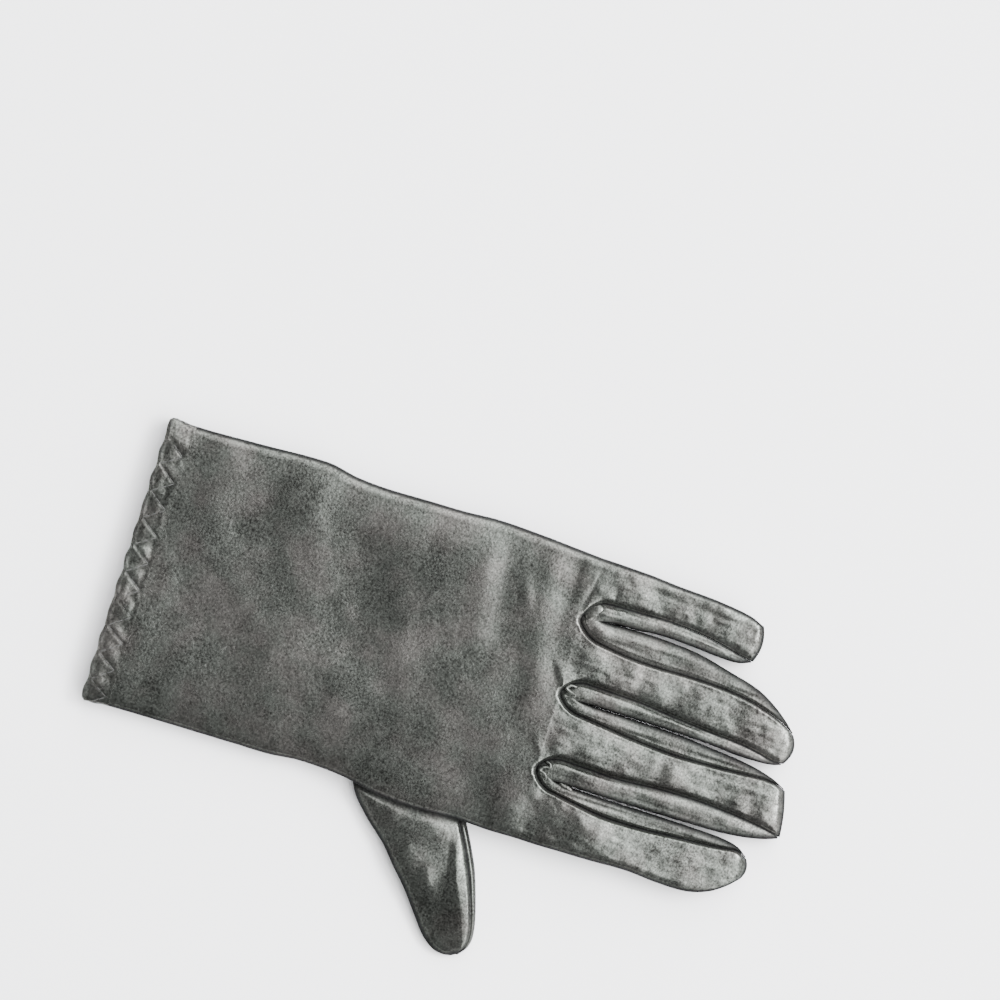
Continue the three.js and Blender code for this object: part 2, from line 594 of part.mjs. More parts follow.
// The turned hem round the wrist. Its zigzag stitching pulls a groove into it: one zigzag takes four columns.
function hem() {
  const columns = HEM_STITCHES * 4;
  const groove = [1, 2, 3, 2]; // the row that the stitching crosses at each column of a zigzag
  const ring = (y, inset) => {
    const [left, right] = [handLeft(y) + inset, handRight(y) - inset];
    const [middle, half] = [(left + right) / 2, (right - left) / 2];
    const points = [];
    const sampled = 160;
    for (let k = 0; k < sampled; k += 1) {
      const angle = (k / sampled) * 2 * Math.PI;
      const share = Math.cos(angle);
      const rise = roundedFall(Math.abs(share), BACK_ROUNDNESS);
      const bend = clamp(1 - (half * (1 - Math.abs(share))) / (EDGE_ROLL - inset));
      const under = (SIDE_SEAM_HEIGHT - inset) * (1 - Math.sqrt(1 - bend * bend)) + inset;
      const over = lerp(SIDE_SEAM_HEIGHT, handLoft(y) - inset, rise);
      points.push(new THREE.Vector3(middle + half * share, y, angle < Math.PI ? over : under));
    }
    return new THREE.CatmullRomCurve3(points, true).getSpacedPoints(columns).slice(0, columns);
  };
  const rows = HEM_ROWS.map((share, row) => {
    const outer = ring(share * HEM_WIDTH, 0);
    const pulled = ring(share * HEM_WIDTH, HEM_PUCKER);
    return outer.map((at, column) => {
      const depth = groove[column % 4] === row ? 1 : 0;
      return at.lerp(pulled[column], row === 0 ? 0.6 : depth);
    });
  });
  const inner = HEM_INNER_ROWS.map((share) => ring(share * HEM_WIDTH, HEM_CLOTH));
  const loop = [...rows, ...inner.reverse()];
  const corners = [];
  loop.forEach((ringA, k) => {
    const ringB = loop[(k + 1) % loop.length];
    for (let column = 0; column < columns; column += 1) {
      const next = (column + 1) % columns;
      const [a, b, c, d] = [ringA[column], ringA[next], ringB[next], ringB[column]].map((p) => p.toArray());
      if (groove[column % 4] < groove[next % 4]) corners.push(a, c, b, a, d, c);
      else corners.push(a, d, b, b, d, c);
    }
  });
  return surfaceOf(corners, false);
}

// The tube of the thumb, flat below and rounded above, or the space inside it. It starts start short of the root.
function thumbTube(inset, start) {
  const curve = Object.fromEntries(["low", "high", "loft"].map((c) => [c, columnCurve(THUMB_SECTIONS, c)]));
  const tip = 1 - inset / THUMB_LENGTH;
  const root = -start / THUMB_LENGTH;
  const rows = [root, -0.39, -0.35, -0.27, -0.15, 0, 0.12, 0.24, 0.36, 0.5, 0.66, 0.8, 0.9, 0.96, tip];
  const rings = rows.map((at) => {
    const low = curve.low(at / tip) * THUMB_WIDTH + inset;
    const high = curve.high(at / tip) * THUMB_WIDTH - inset;
    const loft = curve.loft(at / tip) * THUMB_LOFT - inset;
    const waist = 0.45 * THUMB_LOFT * curve.loft(at / tip);
    const [middle, half] = [(low + high) / 2, Math.max((high - low) / 2, inset / 2 + 0.2)];
    return Array.from({ length: THUMB_FACETS }, (_, k) => {
      const angle = (k / THUMB_FACETS) * 2 * Math.PI;
      const share = Math.cos(angle);
      const over = angle < Math.PI;
      const wide = Math.sign(share) * Math.pow(Math.abs(share), 2 / (over ? THUMB_ROUNDNESS : THUMB_SOLE_FLATNESS));
      const rise = Math.pow(Math.abs(Math.sin(angle)), 2 / (over ? THUMB_ROUNDNESS : THUMB_SOLE_FLATNESS));
      const spot = thumbRoot
        .clone()
        .addScaledVector(thumbLine, at * THUMB_LENGTH)
        .addScaledVector(thumbSide, middle + half * wide);
      return [spot.x, spot.y, lerp(waist, over ? loft : inset, rise)];
    });
  });
  const corners = [];
  for (let row = 0; row < rings.length - 1; row += 1)
    for (let k = 0; k < THUMB_FACETS; k += 1) {
      const next = (k + 1) % THUMB_FACETS;
      const [a, b, c, d] = [rings[row][k], rings[row][next], rings[row + 1][next], rings[row + 1][k]];
      corners.push(a, c, b, a, d, c);
    }
  const centreOf = (ring) => [0, 1, 2].map((axis) => ring.reduce((sum, p) => sum + p[axis], 0) / ring.length);
  const [first, last] = [rings[0], rings[rings.length - 1]];
  for (let k = 0; k < THUMB_FACETS; k += 1) {
    const next = (k + 1) % THUMB_FACETS;
    corners.push(first[next], centreOf(first), first[k], last[k], centreOf(last), last[next]);
  }
  return surfaceOf(corners, true);
}

// Cutting with manifold-3d

function solidOf(geometry) {
  const bare = new THREE.BufferGeometry().setAttribute("position", geometry.toNonIndexed().attributes.position);
  const merged = mergeVertices(bare, MERGE);
  return new wasm.Manifold(
    new wasm.Mesh({
      numProp: 3,
      vertProperties: merged.attributes.position.array,
      triVerts: new Uint32Array(merged.index.array),
    }),
  );
}

function geometryOf(solid) {
  const { vertProperties, triVerts, numProp } = solid.getMesh();
  const points = [];
  for (let i = 0; i < vertProperties.length; i += numProp) points.push(...vertProperties.slice(i, i + 3));
  const geometry = new THREE.BufferGeometry();
  geometry.setAttribute("position", new THREE.Float32BufferAttribute(points, 3));
  geometry.setIndex(Array.from(triVerts));
  return geometry;
}

const largestOf = (solid) => solid.decompose().reduce((best, part) => (part.volume() > best.volume() ? part : best));

const thumbSpace = solidOf(thumbTube(CLOTH, THUMB_ROOT - CLOTH));
const thumb = () =>
  geometryOf(
    largestOf(
      solidOf(thumbTube(0, THUMB_ROOT))
        .subtract(thumbSpace)
        .subtract(solidOf(spaceOverPalm())),
    ),
  );
const palmWithThumbHole = () => geometryOf(largestOf(solidOf(palmPanel()).subtract(thumbSpace)));

// The glove as one group of named pieces

const cloth = new THREE.MeshStandardMaterial({ color: 0x70726f, roughness: 0.42, metalness: 0.8 });
const glove = new THREE.Group();
glove.position.y = -ORIGIN_FROM_WRIST;

function addPiece(name, geometry) {
  const piece = new THREE.Mesh(geometry.toNonIndexed(), cloth.clone());
  piece.geometry.computeVertexNormals();
  piece.name = name;
  glove.add(piece);
}

addPiece("back_panel", backPanel());
addPiece("palm_panel", palmWithThumbHole());
addPiece("thumb", thumb());
addPiece("cuff_hem", hem());
fingers.forEach((finger, i) => {
  if (finger.fourchette[0]) addPiece(`${finger.name}_fourchette_left`, fourchette(i, 0));
  if (finger.fourchette[1]) addPiece(`${finger.name}_fourchette_right`, fourchette(i, 1));
});

export default glove;
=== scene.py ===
"""The looks of a wrist-length dress glove: thin metallic-coated stretch cloth, lying flat on a pale floor.

The cloth is built finer than the CAD solids, from the same sizes and curves, and each piece of it stands
for its CAD node. Sizes are in millimetres along the glove's own axes, with y measured from the wrist edge,
until a mesh is made.
"""

import math
from types import SimpleNamespace

import bpy
import numpy as np
from mathutils import Matrix, Vector
from mathutils.kdtree import KDTree


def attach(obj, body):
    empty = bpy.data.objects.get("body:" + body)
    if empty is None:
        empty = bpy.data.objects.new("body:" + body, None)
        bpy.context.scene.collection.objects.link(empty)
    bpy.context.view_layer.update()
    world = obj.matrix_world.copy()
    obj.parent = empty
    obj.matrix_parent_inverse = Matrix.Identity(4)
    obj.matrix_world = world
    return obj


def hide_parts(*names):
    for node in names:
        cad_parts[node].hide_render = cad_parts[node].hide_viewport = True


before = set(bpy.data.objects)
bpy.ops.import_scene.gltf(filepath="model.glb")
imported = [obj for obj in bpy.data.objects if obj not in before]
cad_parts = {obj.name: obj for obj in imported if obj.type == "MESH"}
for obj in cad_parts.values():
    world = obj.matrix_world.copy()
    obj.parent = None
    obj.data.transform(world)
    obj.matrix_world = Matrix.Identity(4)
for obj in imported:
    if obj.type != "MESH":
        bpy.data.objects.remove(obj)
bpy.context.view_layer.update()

MM = 0.001

# Sizes of the hand, as in the CAD
HAND_LENGTH = 145
LITTLE_WIDTH, LITTLE_LENGTH = 19.2, 57
RING_WIDTH, RING_LENGTH = 26, 76.7
MIDDLE_WIDTH, MIDDLE_LENGTH = 26.2, 80
INDEX_WIDTH, INDEX_LENGTH = 20.8, 74
FINGER_GAP = 0.6
ORIGIN_FROM_WRIST = 75

# Cloth, hem and seams
CLOTH = 0.6
STRIP_CLOTH = 0.3
THUMB_CLOTH = 0.36
SEAM_GAP = 0.06
HEM_CLOTH = 1.3
HEM_WIDTH = 9
HEM_STITCHES = 22

# The zigzag reaches between two shares of the hem's width, with several short stitches on each leg. A stitch
# arches up from below the cloth's face
LOW_STITCH, HIGH_STITCH = 0.13, 0.84
LEG_STITCHES = 3
STITCH_ENDS = np.array([0.08, 0.92])
STITCH_ARCH, STITCH_DEPTH = 0.2, 0.25
THREAD = 0.15

# Heights above the surface that the glove lies on
CUFF_LOFT = 9
PALM_LOFT = 10.5
FINGER_LOFT = 10.3
SIDE_SEAM_HEIGHT = 4.4
BACK_LIP = 9.8
BACK_SEAM_HEIGHT = 8.2
PALM_SEAM_HEIGHT = 1.5
FOURCHETTE_TOP = 9.5
FOURCHETTE_BOTTOM = 0.5

# Widths of the bends. The strips beside the fingers bend differently on a finger's left and on its right
SEAM_ROLL = 0.9
SOFT_ROLL = 2.3
STRIP_ROLL = (0.9, 2.4)
EDGE_ROLL = 6
WEB_REACH = 7
KNUCKLE_BLEND = 22
FORK_BEND = 0.16
HEM_CALM = 10

# Fingers get thinner towards their tips, down to a share of their height
TIP_THINNESS = 0.36
KNUCKLE_SOFTNESS = 0.07

# Painted shade: how dark the cloth is painted in a seam's groove, partly the seam's own darker cloth, along
# the outline and in the shadow of what covers it, and how far the dark reaches
SEAM_SHADE, SEAM_SHADE_WIDTH = 0.9, 0.52
OUTLINE_SHADE, OUTLINE_SHADE_WIDTH = 0.95, (0.5, 1.5)
STRIP_SEAM_SHADE_WIDTH, STRIP_FOLD_SHADE_WIDTH = 0.35, 1.7
THUMB_OUTLINE_SHADE_WIDTH = (0.6, 2.2)
COVERED_SHADE, COVERED_SHADE_WIDTH = 0.8, (0.6, 2.2)

# The thumb
THUMB_WIDTH = 28
THUMB_LENGTH = 50.5
THUMB_ROOT = 22
THUMB_LOFT = 7
THUMB_LEAN = 31
THUMB_AT = 0.76
LIFT_START = 5
LIFT_RUN = 22
LIFT_SIDE, LIFT_REACH = 0.55, 1.15
SQUEEZE = 0.72
THUMB_LIFT = THUMB_LOFT + CLOTH

# The hole in the palm, and how far the thumb may rise above the palm before it is outside the hand's edge
HOLE_MARGIN = 1.5
HOLE_BOTTOM, HOLE_TOP = 0.8, THUMB_LOFT - 1.2
PALM_CLEARANCE, EDGE_CLEARANCE = 0.3, 1

# Where the crowns and the strips fall at a fingertip, as a start and a reach, and how they are rounded
CROWN_FALL, STRIP_FALL = (0.9, 0.1), (0.85, 0.142)
BACK_ROUNDNESS = 7
THUMB_SIDE_ROUNDNESS = 3.8
THUMB_ROUNDNESS = 3.6
THUMB_TIP_ROUNDNESS = 4.5
THUMB_SOLE_FLATNESS = 4
THUMB_SEAM, THUMB_TIP_SEAM, THUMB_SEAM_TURN = 2, 1.5, (62, 82)
THUMB_SEAM_DEPTH, THUMB_SEAM_WIDTH, THUMB_SEAM_FADE = 0.6, 0.55, (62, 78)
THUMB_WAIST = 0.45
THUMB_CREST = 0.5
THUMB_ROOT_TILT, THUMB_TILT = 0.9, 3.4
TIP_ROUNDNESS = 2.6
STRIP_ROUNDNESS = 5
STRIP_END_ROUNDNESS = 2.2
STRIP_END = 0.9925
STRIP_CLUSTERING = 0.55

# Ridges along a line, as height, distance from the line and width
LIP_BEAD = (0.08, 1.1, 0.5)
PUCKER_BEAD, PUCKER_PITCH = (0.06, 1, 1), 2.3
OUTLINE_BEAD = (0.12, 2.6, 1.2)

# How uneven the hem's stitches are and how far they pull its edge, then ridges, and the painted shade in the
# zigzag's groove and pockets, in the same way.
# Pockets and puffs have one bead round the hem and one along y
WEAKEST_STITCH = 0.35
SCALLOP = 0.35
GROOVE_BEAD, MOUTH_DEPTH = (0.13, 0, 1), 0.6
POCKET_BEADS = ((0.38, 0, 1.9), (1, 1.2, 1.1))
PUFF_BEADS = ((0.16, 0, 2.1), (1, 4.3, 2))
STITCH_SHADE = (0.14, 0, 2 / 3)
POCKET_SHADES = ((0.7, 0, 2), (1, 0.8, 0.7))

# Fine slack, in rows of height, width of a bump, stretch along y and seed
BACK_WAVES = ((0.3, 19, 1, 3), (0.07, 6.5, 1, 4))
FINGER_WAVES = ((0.15, 5, 1, 5), (0.08, 2.3, 1, 6), (0.06, 1.3, 5, 7))
PALM_WAVES = ((0.25, 13, 1, 8),)
STRIP_WAVES = ((0.12, 4, 1, 9), (0.17, 1.3, 12, 15))
THUMB_WAVES = ((0.16, 7, 1, 11), (0.05, 2.6, 1, 12))
HEM_WAVES = ((0.18, 3.4, 1, 14),)
HEM_SEED = 21

# How finely the pieces are divided
PANEL_COLUMNS, HAND_ROWS, FINGER_ROWS = 53, 131, 101
STRIP_COLUMNS, STRIP_ROWS = 53, 96
THUMB_ROWS, THUMB_UPPER_COLUMNS, THUMB_LOWER_COLUMNS = 165, 130, 50
HEM_ROWS, HEM_INNER_ROWS, STITCH_COLUMNS = 46, 7, 28
HEM_COLUMNS = HEM_STITCHES * STITCH_COLUMNS
HEM_SHAPE_POINTS = 1601


def table(columns, *rows):
    """A table of sections as {column: values}."""
    return {name: np.array(values, float) for name, values in zip(columns.split(), zip(*rows))}


# at is a share of the hand's length, left and right are shares of its width
HAND_OUTLINE = table(
    "at left right",
    (0, -0.51, 0.499),
    (0.062, -0.503, 0.493),
    (0.2, -0.512, 0.488),
    (0.36, -0.524, 0.484),
    (0.43, -0.506, 0.482),
    (0.5, -0.5, 0.471),
    (0.6, -0.504, 0.476),
    (0.68, -0.507, 0.496),
    (0.76, -0.515, 0.503),
    (0.87, -0.51, 0.495),
    (0.945, -0.503, 0.499),
    (1, -0.498, 0.497),
)

# Where neighbouring fingers part: shares of the hand's width and length
FORKS = ((0.013, 0.994), (-0.012, 1.001), (-0.028, 1.001))

# at is a share of the finger's length, the others are shares of its width from its centre line
LITTLE = table(
    "at seam_left seam_right fold_right",
    (0, -0.49, 0.3, 0.49),
    (0.1, -0.487, 0.215, 0.492),
    (0.3, -0.469, 0.193, 0.474),
    (0.45, -0.436, 0.177, 0.436),
    (0.65, -0.411, 0.214, 0.46),
    (0.8, -0.37, 0.29, 0.49),
    (0.92, -0.315, 0.36, 0.48),
    (1, -0.225, 0.385, 0.4),
)
RING = table(
    "at fold_left seam_left seam_right fold_right",
    (0, -0.49, -0.27, 0.27, 0.49),
    (0.1, -0.52, -0.242, 0.277, 0.502),
    (0.2, -0.53, -0.2, 0.285, 0.503),
    (0.33, -0.534, -0.181, 0.296, 0.503),
    (0.5, -0.5, -0.192, 0.345, 0.507),
    (0.65, -0.404, -0.181, 0.381, 0.52),
    (0.78, -0.308, -0.131, 0.404, 0.545),
    (0.88, -0.169, -0.055, 0.446, 0.546),
    (0.95, -0.035, 0.018, 0.483, 0.53),
    (1, 0.092, 0.105, 0.475, 0.488),
)
MIDDLE = table(
    "at fold_left seam_left seam_right fold_right",
    (0, -0.49, -0.37, 0.22, 0.47),
    (0.1, -0.503, -0.355, 0.229, 0.5),
    (0.2, -0.505, -0.324, 0.237, 0.503),
    (0.32, -0.503, -0.282, 0.245, 0.503),
    (0.5, -0.495, -0.248, 0.205, 0.498),
    (0.65, -0.462, -0.26, 0.198, 0.492),
    (0.78, -0.427, -0.282, 0.218, 0.48),
    (0.88, -0.378, -0.302, 0.252, 0.443),
    (0.95, -0.322, -0.29, 0.286, 0.389),
    (1, -0.25, -0.24, 0.315, 0.33),
)
INDEX = table(
    "at fold_left seam_left seam_right",
    (0, -0.5, -0.38, 0.486),
    (0.1, -0.5, -0.361, 0.486),
    (0.2, -0.5, -0.303, 0.476),
    (0.33, -0.495, -0.24, 0.466),
    (0.5, -0.498, -0.24, 0.442),
    (0.65, -0.498, -0.279, 0.476),
    (0.78, -0.49, -0.308, 0.465),
    (0.88, -0.471, -0.341, 0.36),
    (0.95, -0.418, -0.365, 0.2),
    (1, -0.3, -0.285, 0.03),
)
# round and slope bend the tip's outline, and the back is level up to the share named level
FINGERS = [
    dict(zip(("name", "width", "length", "round", "slope", "level", "sections"), row))
    for row in (
        ("little", LITTLE_WIDTH, LITTLE_LENGTH, 0.07, 0, 0, LITTLE),
        ("ring", RING_WIDTH, RING_LENGTH, 0.065, 0.008, 0, RING),
        ("middle", MIDDLE_WIDTH, MIDDLE_LENGTH, 0.02, -0.055, 0, MIDDLE),
        ("index", INDEX_WIDTH, INDEX_LENGTH, 0.05, 0, 0.25, INDEX),
    )
]

# at is a share of the thumb's length, low and high of its width, loft of its height
THUMB = table(
    "at low high loft",
    (-0.44, -0.2, 0.32, 1),
    (-0.41, -0.36, 0.46, 1),
    (-0.34, -0.5, 0.55, 1),
    (-0.18, -0.57, 0.58, 1),
    (0, -0.51, 0.585, 1),
    (0.2, -0.39, 0.59, 1),
    (0.34, -0.34, 0.585, 1),
    (0.5, -0.275, 0.56, 1),
    (0.7, -0.225, 0.485, 0.97),
    (0.83, -0.185, 0.42, 0.92),
    (0.92, -0.11, 0.345, 0.78),
    (0.965, -0.02, 0.26, 0.6),
    (0.985, 0.06, 0.17, 0.42),
)

# Soft folds of the back, in millimetres from the hand's middle line and the wrist edge, with turn in degrees.
# A fold rises over run on the wrist's side of its crest and falls over fall on the other, and it fades along
# its crest at the distance long.
CRESTS = table(
    "x y long turn rise run fall",
    (-26, 110.3, 17, 8, 0.62, 45, 8.5),
    (-37, 129.8, 15, 2, 0.66, 60, 10),
    (-9, 135, 14, 11, 0.29, 7, 7),
    (-29, 125.3, 5.5, 22, 0.16, 3, 3),
    (-42, 140.6, 7, 0, 0.1, 1.5, 5),
    (-7.2, 143.3, 4.6, 35, 0.34, 1, 5),
    (16.5, 143.6, 3.4, 32, 0.16, 1.5, 2.5),
    (-38, 22, 11, -5, 0.2, 9, 8),
    (-38, 52, 13, 6, 0.36, 16, 9),
    (-34, 83, 16, 5, 0.34, 20, 10),
    (0, 92, 22, 8, 0.1, 14, 12),
    (39, 171, 13, -6, 1.25, 27, 80),
    (24, 158, 30, 0, 1.3, 90, 120),
    (9, 160, 8, 0, 0.3, 15, 16),
    (-16, 151, 6, 4, 0.2, 6, 8),
    (-41, 157, 4.5, -30, 0.22, 5, 7),
    (-38, 189, 4, 25, 0.2, 4, 6),
    (-14, 173.3, 4, 13, 0.24, 4.5, 7),
    (-12, 189.3, 5, -7, 0.36, 5.5, 8),
    (-17.5, 206, 2.2, 0, 0.2, 7, 4),
    (-9, 199, 2, 0, 0.12, 2.5, 3),
    (11, 187.5, 6.5, -3, 0.26, 4.5, 9),
    (11.5, 180.3, 6, 4, 0.14, 2.6, 3),
    (10, 171, 5, 0, 0.12, 7, 7),
    (35, 189.6, 3, -12, 0.28, 3.6, 5),
    (38, 200, 5, 0, 0.15, 9, 9),
    (31.5, 214.5, 2.6, 25, 0.3, 4.5, 3.5),
)

# Small dents, in millimetres and degrees
DENTS = table(
    "x y long wide rise turn",
    (-34, 144.3, 7, 0.9, -0.16, -11),
    (-41, 172, 1.6, 12, -0.12, 0),
    (11.5, 207, 0.9, 9, -0.14, 4),
    (8, 204, 0.8, 8, -0.1, 2),
    (-14, 212, 0.9, 5, -0.1, -8),
    (-33, 141.6, 2, 1.2, 0.12, -30),
    (-36.5, 152.4, 1.8, 1.2, -0.25, -15),
)

# The thumb's folds and dents, in the same way
THUMB_CRESTS = table(
    "x y long turn rise run fall",
    (50.8, 119, 12, -91, 0.32, 2, 9),
    (48.7, 98, 11, -101, 0.34, 2, 5),
    (47.4, 93.5, 4.5, -106, 0.7, 1.8, 4),
    (61, 130.6, 8, 15, 0.85, 3, 5),
    (79, 125, 3.6, -100, 0.4, 1.3, 1.8),
)
THUMB_DENTS = table(
    "x y long wide rise turn",
    (68, 115, 14, 12, 1.5, 25),
    (67.5, 122.8, 3.6, 2.6, 0.5, 20),
    (84, 129.5, 1.6, 1.4, 0.4, 0),
    (84, 126.5, 1.4, 1.2, -0.3, 0),
    (74, 131, 6, 3, -0.3, 25),
)

# The paths of two gathers that wind to and fro in the forks, as x and y of each point in turn
MIDDLE_GATHER = (-5.2, 149.9, -5, 147.4, -4, 146.4, -3.1, 147.9)
MIDDLE_GATHER += (-2.6, 149.9, -1.7, 148.7, -0.9, 147.1, 0.4, 147.9)
INDEX_GATHER = (20.1, 147, 20.8, 148.9, 21.9, 149.2, 22.6, 147)
INDEX_GATHER += (23.6, 146.3, 24.3, 148.2, 25.6, 149, 26.6, 147.5)
# Small tucks of cloth in the forks: a path, then half its width, half its height, its middle's height and how
# dark the painted shade on its sides is
TUCKS = (
    ((-32, 150.2, -29.4, 147.8, -26.8, 145.4), 2.4, 1.1, 8.4, 0.9),
    ((-32.2, 158, -31.4, 155.4, -31, 152.4), 1.3, 0.9, 8.2, 0),
    (MIDDLE_GATHER, 0.75, 0.7, 8.9, 1),
    ((-3.3, 155.6, -3, 151.4), 0.9, 0.6, 8.5, 1),
    (INDEX_GATHER, 0.75, 0.7, 8.9, 1),
    ((26.8, 158.4, 26.3, 155.6, 25.9, 153.2), 1, 0.8, 8.6, 0),
)

HAND_WIDTH = sum(finger["width"] for finger in FINGERS) + (len(FINGERS) - 1) * FINGER_GAP
PANEL_START = HEM_WIDTH + SEAM_GAP
BACK_EDGE = SIDE_SEAM_HEIGHT + SEAM_GAP / 2
PALM_EDGE = SIDE_SEAM_HEIGHT - SEAM_GAP / 2


# Numbers and curves


def lerp(a, b, share):
    return a + (b - a) * share


def clamp(value):
    return np.clip(value, 0, 1)


def smooth(start, end, value):
    share = clamp((value - start) / (end - start))
    return share * share * (3 - 2 * share)


def rounded_fall(share, roundness):
    """1 at the middle and 0 at the edge, where it falls straight down."""
    return np.maximum(1 - clamp(share) ** roundness, 0) ** (1 / roundness)


def curve(rows, name):
    """A smooth curve through one column of a table, as a function of its column at."""
    at, value = rows["at"], rows[name]
    before, after = np.r_[0, np.arange(len(at) - 1)], np.r_[np.arange(1, len(at)), len(at) - 1]
    slope = (value[after] - value[before]) / (at[after] - at[before])

    def read(where):
        where = np.clip(where, at[0], at[-1])
        i = np.clip(np.searchsorted(at, where, side="right") - 1, 0, len(at) - 2)
        span = at[i + 1] - at[i]
        u = (where - at[i]) / span
        straight = lerp(value[i], value[i + 1], u * u * (3 - 2 * u))
        return straight + u * (1 - u) * span * ((1 - u) * slope[i] - u * slope[i + 1])

    return read


def bead(distance, height, middle, width):
    """A rounded ridge that follows a line, at the distance named middle from it."""
    return height * np.exp(-(((distance - middle) / width) ** 2))


def value_noise(x, y, cell, seed):
    """Smooth noise from -1 to 1 with bumps about cell wide."""
    size = 256
    lattice = np.random.default_rng(seed).uniform(-1, 1, (size, size))
    u, v = np.asarray(x) / cell, np.asarray(y) / cell
    i, j = np.floor(u).astype(int), np.floor(v).astype(int)
    s, t = u - i, v - j
    s, t = s * s * s * (s * (6 * s - 15) + 10), t * t * t * (t * (6 * t - 15) + 10)
    corner = lambda a, b: lattice[(i + a) % size, (j + b) % size]
    return lerp(lerp(corner(0, 0), corner(1, 0), s), lerp(corner(0, 1), corner(1, 1), s), t)


def waves(x, y, rows):
    """The sum of several noises, each a row of height, width of a bump, stretch along y and seed."""
    return sum(height * value_noise(x, y / stretch, cell, seed) for height, cell, stretch, seed in rows)


# The hand seen from above

outline_left, outline_right = curve(HAND_OUTLINE, "left"), curve(HAND_OUTLINE, "right")


def hand_left(y):
    return HAND_WIDTH * outline_left(y / HAND_LENGTH)


def hand_right(y):
    return HAND_WIDTH * outline_right(y / HAND_LENGTH)


reached = -HAND_WIDTH / 2
for number, finger in enumerate(FINGERS):
    finger["left"] = reached
    finger["centre"] = reached + finger["width"] / 2
    finger["fourchette"] = (number > 0, number < len(FINGERS) - 1)
    finger["seam"] = (curve(finger["sections"], "seam_left"), curve(finger["sections"], "seam_right"))
    finger["fold"] = tuple(
        curve(finger["sections"], side) if side in finger["sections"] else None
        for side in ("fold_left", "fold_right")
    )
    reached += finger["width"] + FINGER_GAP

forks = []
for number, (aside, at) in enumerate(FORKS):
    between = FINGERS[number + 1]["left"] - FINGER_GAP / 2
    y = at * HAND_LENGTH
    forks.append(dict(x=between + aside * HAND_WIDTH, y=y, web=(between, y + WEB_REACH)))


def finger_edge(i, side, at):
    """An edge of finger i's panel, which leaves a fork sideways, as the bottom of a U does."""
    finger = FINGERS[i]
    x = finger["centre"] + finger["width"] * finger["seam"][side](at)
    y = HAND_LENGTH + at * finger["length"]
    if not finger["fourchette"][side]:
        return x, y
    fork = forks[i - 1 + side]
    left = np.maximum(1 - at / finger["sections"]["at"][1], 0)
    start = np.sqrt((1 - left) ** 2 + FORK_BEND**2) - FORK_BEND - (1 - left)
    reach = finger["sections"]["at"][1] * finger["length"] * left
    return lerp(x, fork["x"], left**2.2), y + (fork["y"] - HAND_LENGTH) * left + start * reach


def tip_drop(finger, t, at):
    """How far a fingertip's outline lies back from a straight end, where t runs from -1 to 1 across it."""
    return smooth(0.75, 1, at) * finger["width"] * (finger["round"] * t * t + finger["slope"] * t)


def finger_fold(i, side, at):
    """The fold of a fourchette, from the web between the fingers to the tip."""
    finger = FINGERS[i]
    web = forks[i - 1 + side]["web"]
    along = lerp((web[1] - HAND_LENGTH) / finger["length"], 1, at)
    x = finger["centre"] + finger["width"] * finger["fold"][side](along)
    return lerp(web[0], x, smooth(0, 0.1, at)), HAND_LENGTH + along * finger["length"]


def division(line, share):
    """A line that divides the hand into a strip for each finger. The first and the last are its outline."""
    last = len(FINGERS)
    if line in (0, last):
        y = lerp(PANEL_START, HAND_LENGTH, share)
        return (hand_left(y) if line == 0 else hand_right(y)), y
    fork = forks[line - 1]
    y = lerp(PANEL_START, fork["y"], share)
    return lerp(FINGERS[line]["left"], fork["x"], smooth(0, 1, share)), y


# Heights


def crown_fall(at):
    return rounded_fall((at - CROWN_FALL[0]) / CROWN_FALL[1], TIP_ROUNDNESS)


def fourchette_fall(at):
    return rounded_fall((at - STRIP_FALL[0]) / STRIP_FALL[1], STRIP_END_ROUNDNESS)


thumb_root = np.array([hand_right(THUMB_AT * HAND_LENGTH), THUMB_AT * HAND_LENGTH])
lean = math.radians(THUMB_LEAN)
thumb_line = np.array([math.cos(lean), math.sin(lean)])
thumb_side = np.array([-thumb_line[1], thumb_line[0]])


def thumb_place(x, y):
    """Where a point is from the thumb's root: out along the thumb, and across it towards the fingertips."""
    dx, dy = x - thumb_root[0], y - thumb_root[1]
    return dx * thumb_line[0] + dy * thumb_line[1], dx * thumb_side[0] + dy * thumb_side[1]


def thumb_lift(x, y):
    """How much of the thumb's height the cloth above it is lifted by, from 0 to 1."""
    out, across = thumb_place(x, y)
    start = -THUMB_ROOT - LIFT_START
    return smooth(start, start + LIFT_RUN, out) * (
        1 - smooth(LIFT_SIDE * THUMB_WIDTH, LIFT_REACH * THUMB_WIDTH, abs(across))
    )


def lifted(z, x, y):
    """A height of the hand once the thumb under it has lifted and flattened it."""
    share = thumb_lift(x, y)
    return THUMB_LIFT * share + z * (1 - SQUEEZE * share)


def bump(x, y, place, long, wide, turn):
    """A soft bump, 1 at its place, that reaches long one way and wide across that way."""
    c, s = math.cos(math.radians(turn)), math.sin(math.radians(turn))
    dx, dy = x - place[0], y - place[1]
    return np.exp(-(((dx * c + dy * s) / long) ** 2) - ((dy * c - dx * s) / wide) ** 2)


def fold_height(x, y, crests, dents):
    """How much a table of folds and one of dents raise the cloth at a point."""
    height = 0
    for crest_x, crest_y, long, turn, rise, run, fall in zip(*crests.values()):
        c, s = math.cos(math.radians(turn)), math.sin(math.radians(turn))
        along = (x - crest_x) * c + (y - crest_y) * s
        past = (y - crest_y) * c - (x - crest_x) * s
        ridge = smooth(-run, 0, past) * (1 - smooth(0, fall, past))
        height = height + rise * ridge * np.exp(-((along / long) ** 2))
    for dent_x, dent_y, long, wide, rise, turn in zip(*dents.values()):
        height = height + rise * bump(x, y, (dent_x, dent_y), long, wide, turn)
    return height


def hand_loft(y):
    return lerp(CUFF_LOFT, PALM_LOFT, clamp(y / HAND_LENGTH) ** 1.4)


